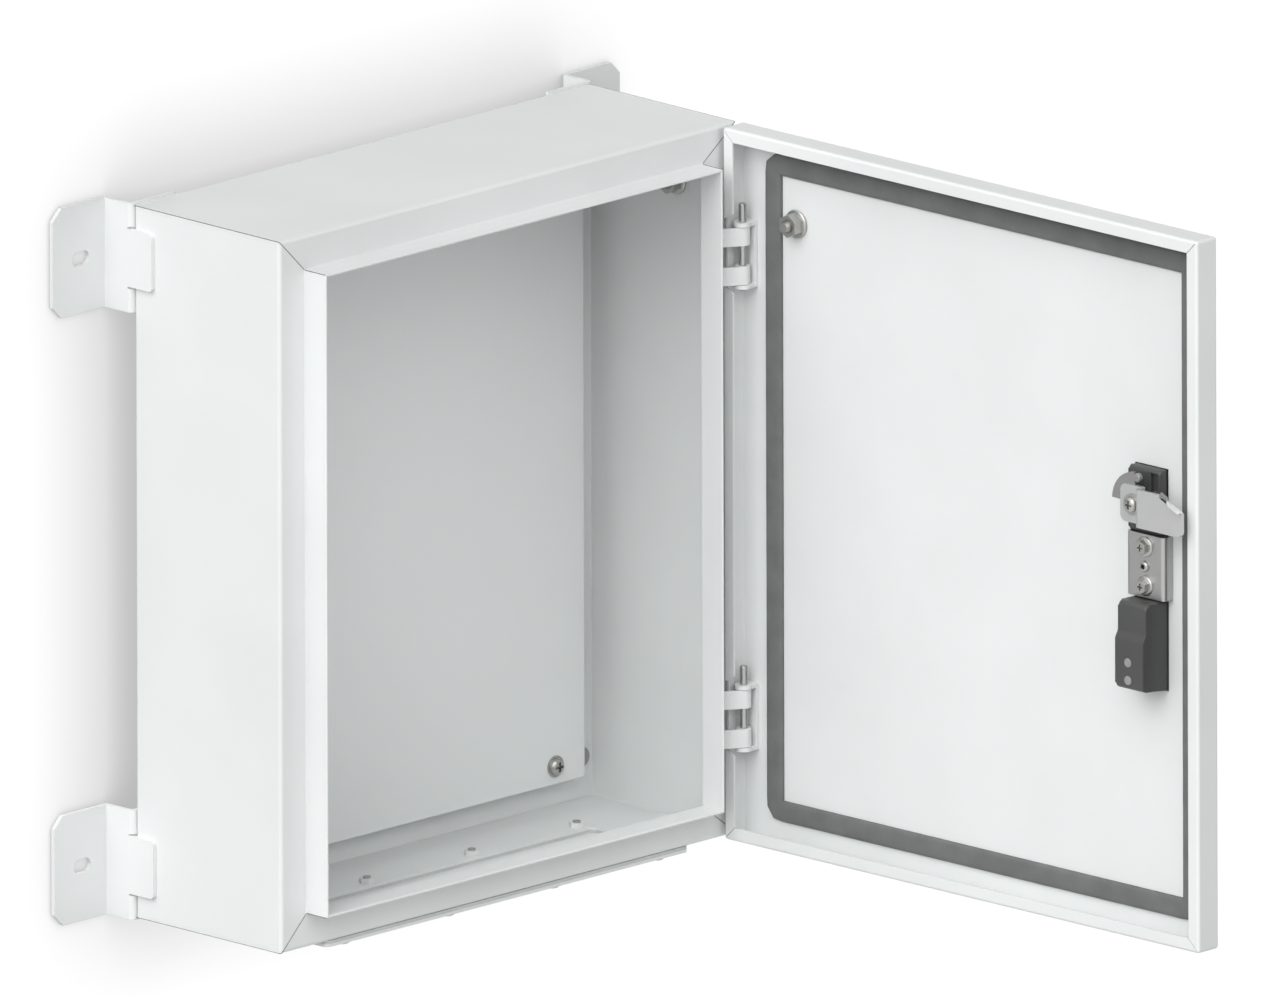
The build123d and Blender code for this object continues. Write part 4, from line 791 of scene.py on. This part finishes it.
def inner_corner_edges(sizes):
    """Ends of the four seams that run from the back to the front inside the body."""
    low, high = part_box("body_wrap")
    top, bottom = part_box("top_panel")[1].z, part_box("bottom_panel")[0].z
    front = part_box("gland_seal")[0].y
    inset = sizes.seam_radius * 2
    points, edges = [], []
    for x in (low.x + inset, high.x - inset):
        for z in (bottom + inset, top - inset):
            edges.append((len(points), len(points) + 1))
            points += [Vector((x, high.y - 2 * inset, z)), Vector((x, front, z))]
    return points, edges


def joint_lines(sizes):
    """Open joints between the wrap and the two panels, from the back to the tips of the lips."""
    low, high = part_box("body_wrap")
    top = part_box("top_panel")[1].z
    sunk = sizes.joint_radius / 2
    front = high.y - sizes.body_depth
    points, edges = [], []
    for side, strip in ((-1, sizes.strip_left), (1, sizes.strip_right)):
        for level in (-1, 1):
            edge_x = side * (high.x - sunk)
            edge_z = level * (top - sunk)
            lip_x = side * (high.x - strip)
            lip_z = level * (top - sizes.strip_across)
            route = [Vector((edge_x, high.y, edge_z)), Vector((edge_x, front, edge_z)),
                     Vector((lip_x, front, lip_z)), Vector((lip_x, low.y + sizes.joint_radius, lip_z))]
            first = len(points)
            points += route
            edges += [(first + i, first + i + 1) for i in range(len(route) - 1)]
    return points, edges


def flap_section(sizes, share):
    """Outline of the cam's flap at a share of its run: nearly flat at first, then bent toward the room."""
    twisted = min(1, max(0, (share - FLAP_TWIST_FROM) / FLAP_TWIST_OVER))
    turn = FLAP_FLAT + (FLAP_TURNED - FLAP_FLAT) * twisted ** 2 * (3 - 2 * twisted)
    half, bend = sizes.flap_sheet / 2, sizes.flap_bend
    spine = [(-bend, -half, 0.0)]
    for i in range(FLAP_STEPS + 1):
        t = turn * i / FLAP_STEPS
        spine.append((bend * math.sin(t), bend - bend * math.cos(t) - half, t))
    out, up, t = spine[-1]
    spine.append((out + sizes.flap_leg * math.cos(t), up + sizes.flap_leg * math.sin(t), t))
    inner = [(a - half * math.sin(t), b + half * math.cos(t)) for a, b, t in spine]
    outer = [(a + half * math.sin(t), b - half * math.cos(t)) for a, b, t in spine]
    return inner + outer[::-1]


# Operators

class ENCLOSURE_OT_sheet_metal(bpy.types.Operator):
    """Coat the body, door, mounting plate, gland plate and wall brackets"""
    bl_idname = "enclosure.sheet_metal"
    bl_label = "Coat Sheet Metal"

    def execute(self, context):
        dress("body_wrap", "top_panel", "bottom_panel", "door_panel", "mounting_plate", "gland_plate")
        dress(*[node for node in NODES if node.startswith("wall_bracket")])
        dress("gland_seal", "gland_nuts", "rear_hole_plugs", "plate_standoffs", "plate_washers",
              "bracket_nuts")
        return {"FINISHED"}


class ENCLOSURE_OT_screws(bpy.types.Operator):
    """Make the cross-recess screws of the plate, brackets and gland plate"""
    bl_idname = "enclosure.screws"
    bl_label = "Make Screws"

    def execute(self, context):
        sizes = context.scene.enclosure_sizes
        cross_screws("plate_screws_cross", "plate_screws", INTO_ROOM, sizes.plate_head, sizes.m6_shank)
        cross_screws("bracket_screws_cross", "bracket_screws", INTO_ROOM, sizes.bracket_head, sizes.m6_shank)
        cross_screws("gland_screws_cross", "gland_screws", -UP, sizes.gland_head, sizes.m5_shank)
        return {"FINISHED"}


class ENCLOSURE_OT_earthing(bpy.types.Operator):
    """Make the two threaded earth studs with their flange nuts"""
    bl_idname = "enclosure.earthing"
    bl_label = "Make Earthing"

    def execute(self, context):
        earth_pair("body", BODY_STUD_OUT)
        earth_pair("door", DOOR_IN)
        return {"FINISHED"}


class ENCLOSURE_OT_hinges(bpy.types.Operator):
    """Finish the hinge leaves, door brackets and pins"""
    bl_idname = "enclosure.hinges"
    bl_label = "Finish Hinges"

    def execute(self, context):
        dress(*[node for node in NODES if node.startswith("hinge_")])
        return {"FINISHED"}


class ENCLOSURE_OT_gasket(bpy.types.Operator):
    """Sweep the foamed gasket round the inside of the door"""
    bl_idname = "enclosure.gasket"
    bl_label = "Make Gasket"

    def execute(self, context):
        sizes = context.scene.enclosure_sizes
        points = solids("door_gasket")[0]
        half = sizes.gasket_width / 2
        (near, far), (low, high) = reach(points, DOOR_ALONG), reach(points, UP)
        seat, crown = reach(points, DOOR_IN)
        corners = [(near + half, low + half), (far - half, low + half), (far - half, high - half),
                   (near + half, high - half)]
        path = [door_point(u, seat, z) for u, z in corners]
        edges = [(i, (i + 1) % len(path)) for i in range(len(path))]
        piece = grow("door_gasket_foam", foamed_bead, path, edges, {
            "Width": sizes.gasket_width * sizes.gasket_spread, "Height": crown - seat,
            "Corner": sizes.gasket_corner - half, "Waves": (crown - seat) * FOAM_DIP,
            "Seed": float(sizes.seed), "Axis": DOOR_IN}, SLOT_OF["door_gasket"])
        stand_for(piece, "door_gasket")
        return {"FINISHED"}


class ENCLOSURE_OT_seams(bpy.types.Operator):
    """Seal the corners inside the body and draw the open joints of its sheets"""
    bl_idname = "enclosure.seams"
    bl_label = "Seal Seams"

    def execute(self, context):
        sizes = context.scene.enclosure_sizes
        # The joint lines are a dark bead in the joint shade colour: painted shade in the open joints between the
        # sheets
        for name, lines, radius, finish, slot in (
                ("inner_corner_seams", inner_corner_edges, sizes.seam_radius, "body_paint", "body_paint"),
                ("open_joint_lines", joint_lines, sizes.joint_radius, "joint_shade", "gasket_foam")):
            inputs = {"Radius": radius, "Seed": float(sizes.seed)}
            carry(grow(name, sealed_seams, *lines(sizes), inputs, finish), "enclosure")
        return {"FINISHED"}


class ENCLOSURE_OT_lock(bpy.types.Operator):
    """Finish the lock case, housing and clamp, and make their screws"""
    bl_idname = "enclosure.lock"
    bl_label = "Make Lock"

    def make_housing(self, sizes):
        """The electronics housing, a stepped moulding with rounded edges."""
        points = solids("electronics_housing")[0]
        (left, right), (low, top) = reach(points, DOOR_ALONG), reach(points, UP)
        seat, deep = reach(points, DOOR_IN)
        shallow, soft = deep - sizes.housing_step, sizes.housing_round
        side = [(seat, top, 0), (shallow, top, soft), (shallow, top - sizes.step_top, soft),
                (deep, top - sizes.step_bottom, soft), (deep, low + sizes.housing_slope, soft),
                (seat, low, 0)]
        mesh = solid_mesh("housing_moulding", [drawn(side, left, right)], sizes.moulded_edge)
        stand_for(show("housing_moulding", mesh, SLOT_OF["electronics_housing"]), "electronics_housing")

    def make_case(self, sizes):
        """The lock case: its base, which the clamp holds, a dark sheet, and its grooved upper part."""
        case = [point for solid in solids("lock_body") for point in solid]
        (near, far), (low, top) = reach(case, DOOR_ALONG), reach(case, UP)
        back, clamp = reach(case, DOOR_IN)[0], solids("clamp_channel")[0]
        (clamp_low, clamp_top), (sheet, clamp_crown) = reach(clamp, UP), reach(clamp, DOOR_IN)
        crown, left = sheet + sizes.case_depth, far - sizes.case_width
        bridge = clamp_crown - sizes.clamp_sheet
        base = [slab((back, sheet), (low, top), (near, far)),
                slab((back, bridge), (clamp_low, clamp_top), (near, far))]
        seal = slab((sheet, sheet + sizes.case_seal), (clamp_top, top + sizes.seal_proud),
                    (left, far + sizes.seal_proud))
        upper = slab((sheet, crown), (clamp_top, top), (left, far), sizes.case_round)
        for name, blocks, finish in (("lock_case_base", base, "lock_plastic"),
                                     ("lock_case_seal", [seal], "bore_shade")):
            carry(show(name, solid_mesh(name, blocks), finish), "door")
        cut_top, cut_low = top - sizes.groove_top, clamp_top + sizes.groove_wall
        middle = door_point(far - sizes.groove_wall - sizes.groove_width / 2, crown, (cut_top + cut_low) / 2)
        inputs = {"Groove Middle": middle,
                  "Groove Size": Vector((2 * sizes.groove_depth, sizes.groove_width, cut_top - cut_low)),
                  "Turn": math.atan2(DOOR_IN.y, DOOR_IN.x)}
        blank = solid_mesh("lock_case_upper", [upper], sizes.moulded_edge)
        stand_for(grow("lock_case_grooved", grooved_case, [], [], inputs, "lock_plastic", blank), "lock_body")

    def make_screws(self, sizes):
        """The ringed screws of the housing, and the hollow and hexagon screws of the clamp."""
        found = solids("housing_screws")
        low, high = reach(found[0], DOOR_IN)
        fixings("housing_screws_ringed", ringed_discs, "housing_screws",
                [centred(points, DOOR_IN, low) for points in found], {
                    "Radius": half_width(found[0], DOOR_IN), "Length": high - low,
                    "Ring Radius": sizes.disc_ring, "Ring Width": sizes.joint_radius, "Axis": DOOR_IN})
        points, radius, below = seats("clamp_centre_screw", DOOR_IN, sizes.centre_head)
        fixings("clamp_centre_screw_hollow", hollow_screws, "clamp_centre_screw", points, {
            "Head Radius": radius, "Head Height": sizes.centre_head, "Bore Radius": sizes.centre_bore,
            "Length": below, "Axis": DOOR_IN})
        # Painted shade: a near-black disc down the centre screw's bore stands in for the shade inside the hole
        shade = grow("clamp_centre_bore", ringed_discs, points, [], {
            "Radius": sizes.centre_bore * BORE_FLOOR, "Length": sizes.joint_radius * 2,
            "Ring Radius": sizes.centre_bore * BORE_RING, "Ring Width": sizes.joint_radius / 2,
            "Axis": DOOR_IN}, "bore_shade")
        carry(shade, "door")
        points, radius, below = seats("clamp_screws", DOOR_IN, sizes.clamp_head)
        fixings("clamp_screws_hexagon", hexagon_flange_screws, "clamp_screws", points, {
            "Flange Radius": radius, "Flange Height": sizes.clamp_flange, "Head Height": sizes.clamp_head,
            "Across Flats": sizes.hexagon, "Shank Radius": sizes.m5_shank, "Shank Length": below,
            "Recess Span": sizes.hexagon * sizes.recess_share, "Axis": DOOR_IN})

    def execute(self, context):
        sizes = context.scene.enclosure_sizes
        dress("clamp_channel")
        self.make_housing(sizes)
        self.make_case(sizes)
        self.make_screws(sizes)
        return {"FINISHED"}


class ENCLOSURE_OT_cam(bpy.types.Operator):
    """Finish the spindle, stop claw and cam, and make the cam's flap and screw"""
    bl_idname = "enclosure.cam"
    bl_label = "Make Cam"

    def execute(self, context):
        sizes = context.scene.enclosure_sizes
        dress("handle_spindle", "stop_claw", "latch_cam", "cam_washer")
        cam = solids("latch_cam")[0]
        far, high, crown = [reach(cam, axis)[1] for axis in (DOOR_ALONG, UP, DOOR_IN)]
        slant = DOOR_ALONG * sizes.flap_run - UP * sizes.flap_drop
        start = door_point(far - sizes.flap_run, crown, high)
        outward = (DOOR_ALONG * sizes.flap_drop + UP * sizes.flap_run).normalized()
        # Painted light on the flap: painted shade on its root and a painted highlight on its ramp, each a copy of
        # the cam's steel in another colour
        for name, (first, last, finish) in FLAP_PARTS.items():
            shares = [first + (last - first) * i / FLAP_RINGS for i in range(FLAP_RINGS + 1)]
            rings = [[start + slant * share + outward * a + DOOR_IN * b
                      for a, b in flap_section(sizes, share)] for share in shares]
            flap = show(name, solid_mesh(name, [rings]), finish)
            carry(flap, BODY_OF["latch_cam"])
        cross_screws("cam_screw_cross", "cam_screw", DOOR_IN, sizes.cam_head, sizes.m5_shank)
        return {"FINISHED"}


class ENCLOSURE_OT_handle(bpy.types.Operator):
    """Finish the outer handle, its reader window and the key cylinder"""
    bl_idname = "enclosure.handle"
    bl_label = "Finish Handle"

    def execute(self, context):
        dress("handle_base", "handle_seal", "reader_window", "swing_lever", "lever_pin", "cylinder_barrel",
              "cylinder_plug")
        return {"FINISHED"}


class ENCLOSURE_OT_studio(bpy.types.Operator):
    """Set up the backdrop, lamps and camera"""
    bl_idname = "enclosure.studio"
    bl_label = "Set Up Studio"

    def execute(self, context):
        studio = context.scene.enclosure_studio
        backdrop = make_backdrop(studio)
        make_sky(studio)
        for side in ("front", "rear"):
            make_lamp(side + "_lamp", getattr(studio, side + "_place"), getattr(studio, side + "_power"),
                      backdrop)
        make_camera(studio)
        context.scene.view_settings.view_transform = "Standard"
        return {"FINISHED"}


# Studio

def make_backdrop(studio):
    """Wall and floor in one sweep, seen from the front only."""
    half, tall, reach_out, bend, steps = 3.0, 2.2, 3.0, 0.25, 12
    gap = 0.0005
    floor = -studio.floor_drop
    profile = [(gap, tall)]
    for step in range(steps + 1):
        turn = math.pi / 2 * step / steps
        profile.append((gap - bend + bend * math.cos(turn), floor + bend - bend * math.sin(turn)))
    profile.append((-reach_out, floor))
    mesh = bpy.data.meshes.new("studio_sweep")
    points = [(x, y, z) for y, z in profile for x in (-half, half)]
    faces = [(2 * i, 2 * i + 2, 2 * i + 3, 2 * i + 1) for i in range(len(profile) - 1)]
    mesh.from_pydata(points, [], faces)
    mesh.materials.append(backdrop_material(studio))
    mesh.shade_smooth()
    sweep = put("studio_sweep", mesh)
    return sweep


def backdrop_material(studio):
    """White for the camera, with painted shade: an ambient-occlusion mask darkens its glow near the enclosure."""
    material = bpy.data.materials.new("studio_paper")
    material.use_nodes = True
    net = Net(material.node_tree)
    net.tree.nodes.clear()
    # Painted shade: ambient occlusion darkens the backdrop's glow near the enclosure, in place of a cast shadow
    shade = net.add("ShaderNodeAmbientOcclusion", settings={"samples": 32}, Distance=studio.shade_reach)
    painted_shade_colour = net.add("ShaderNodeMix", 2, {"data_type": "RGBA"}, Factor=studio.shade_depth, _6=WHITE, _7=shade)
    lit = net.add("ShaderNodeEmission", Color=painted_shade_colour, Strength=studio.wall_white)
    front = net.calc("SUBTRACT", 1.0, net.add("ShaderNodeNewGeometry", "Backfacing"))
    mix = net.add("ShaderNodeMixShader", _0=net.times(net.shown(), front),
                  _1=net.add("ShaderNodeBsdfTransparent"), _2=lit)
    net.feed(net.tree.nodes.new("ShaderNodeOutputMaterial"), Surface=mix)
    return material


def make_sky(studio):
    """Dome with soft patches of light round the enclosure, white for the camera."""
    world = bpy.data.worlds.new("studio_dome")
    world.use_nodes = True
    bpy.context.scene.world = world
    net = Net(world.node_tree)
    way = net.add("ShaderNodeTexCoord", "Generated")
    total = 0.0
    for name, (side, tightness) in SKY_PATCHES.items():
        share = net.add("ShaderNodeVectorMath", "Value", {"operation": "DOT_PRODUCT"}, _0=way,
                        _1=Vector(side).normalized())
        patch = net.calc("POWER", net.calc("MAXIMUM", share, 0.0), tightness)
        total = net.calc("ADD", total, net.times(patch, getattr(studio, name)))
    net.feed(net.tree.nodes["Background"], Color=WHITE, Strength=net.calc("MAXIMUM", total, net.shown()))


def make_lamp(name, stand, power, backdrop):
    """Large soft lamp that points at the enclosure and leaves the backdrop alone."""
    receivers = bpy.data.collections.new(name + "_receivers")
    receivers.objects.link(backdrop)
    receivers.collection_objects[0].light_linking.link_state = "EXCLUDE"
    data = bpy.data.lights.new(name, "AREA")
    data.shape = "DISK"
    data.size = LAMP_ACROSS
    data.energy = power
    lamp = put(name, data)
    lamp.location = stand
    lamp.rotation_mode = "QUATERNION"
    lamp.rotation_quaternion = (LAMP_TARGET - lamp.location).to_track_quat("-Z", "Y")
    lamp.light_linking.receiver_collection = receivers


def make_camera(studio):
    """Camera at the direction that the straight edges of the body and door give."""
    azimuth, elevation = studio.azimuth, studio.elevation
    back = Vector((math.sin(azimuth) * math.cos(elevation), -math.cos(azimuth) * math.cos(elevation),
                   math.sin(elevation)))
    right = Vector((math.cos(azimuth), math.sin(azimuth), 0))
    upright = back.cross(right)
    turned = Matrix.Rotation(studio.roll, 3, back)
    data = bpy.data.cameras.new("photo_camera")
    data.type = "ORTHO"
    data.ortho_scale = studio.shown_width
    data.clip_end = CAMERA_REACH
    camera = put("photo_camera", data)
    bpy.context.scene.camera = camera
    basis = Matrix((turned @ right, turned @ upright, back)).transposed()
    camera.matrix_world = Matrix.Translation(Vector(studio.aim) + back * CAMERA_BACK) @ basis.to_4x4()


class ENCLOSURE_PT_panel(bpy.types.Panel):
    """Steps and sizes of the enclosure"""
    bl_label = "Enclosure"
    bl_space_type = "VIEW_3D"
    bl_region_type = "UI"
    bl_category = "Enclosure"

    def draw(self, context):
        for step in STEPS:
            self.layout.operator(step.bl_idname)
        for group in (context.scene.enclosure_finish, context.scene.enclosure_sizes,
                      context.scene.enclosure_studio):
            box = self.layout.box()
            for name in group.__annotations__:
                box.prop(group, name)


STEPS = (ENCLOSURE_OT_sheet_metal, ENCLOSURE_OT_screws, ENCLOSURE_OT_earthing, ENCLOSURE_OT_hinges,
         ENCLOSURE_OT_gasket, ENCLOSURE_OT_seams, ENCLOSURE_OT_lock, ENCLOSURE_OT_cam, ENCLOSURE_OT_handle,
         ENCLOSURE_OT_studio)
GROUPS = {"enclosure_finish": EnclosureFinish, "enclosure_sizes": EnclosureSizes,
          "enclosure_studio": EnclosureStudio}


def register():
    """Register the classes and put their settings on the scene."""
    for kind in (*GROUPS.values(), *STEPS, ENCLOSURE_PT_panel):
        bpy.utils.register_class(kind)
    for name, kind in GROUPS.items():
        setattr(bpy.types.Scene, name, PointerProperty(type=kind))


def unregister():
    """Take the settings and classes away again."""
    for name in GROUPS:
        delattr(bpy.types.Scene, name)
    for kind in (ENCLOSURE_PT_panel, *reversed(STEPS), *GROUPS.values()):
        bpy.utils.unregister_class(kind)


def main():
    """Run every step in order."""
    register()
    for step in STEPS:
        group, name = step.bl_idname.split(".")
        getattr(getattr(bpy.ops, group), name)()


if __name__ == "__main__":
    main()
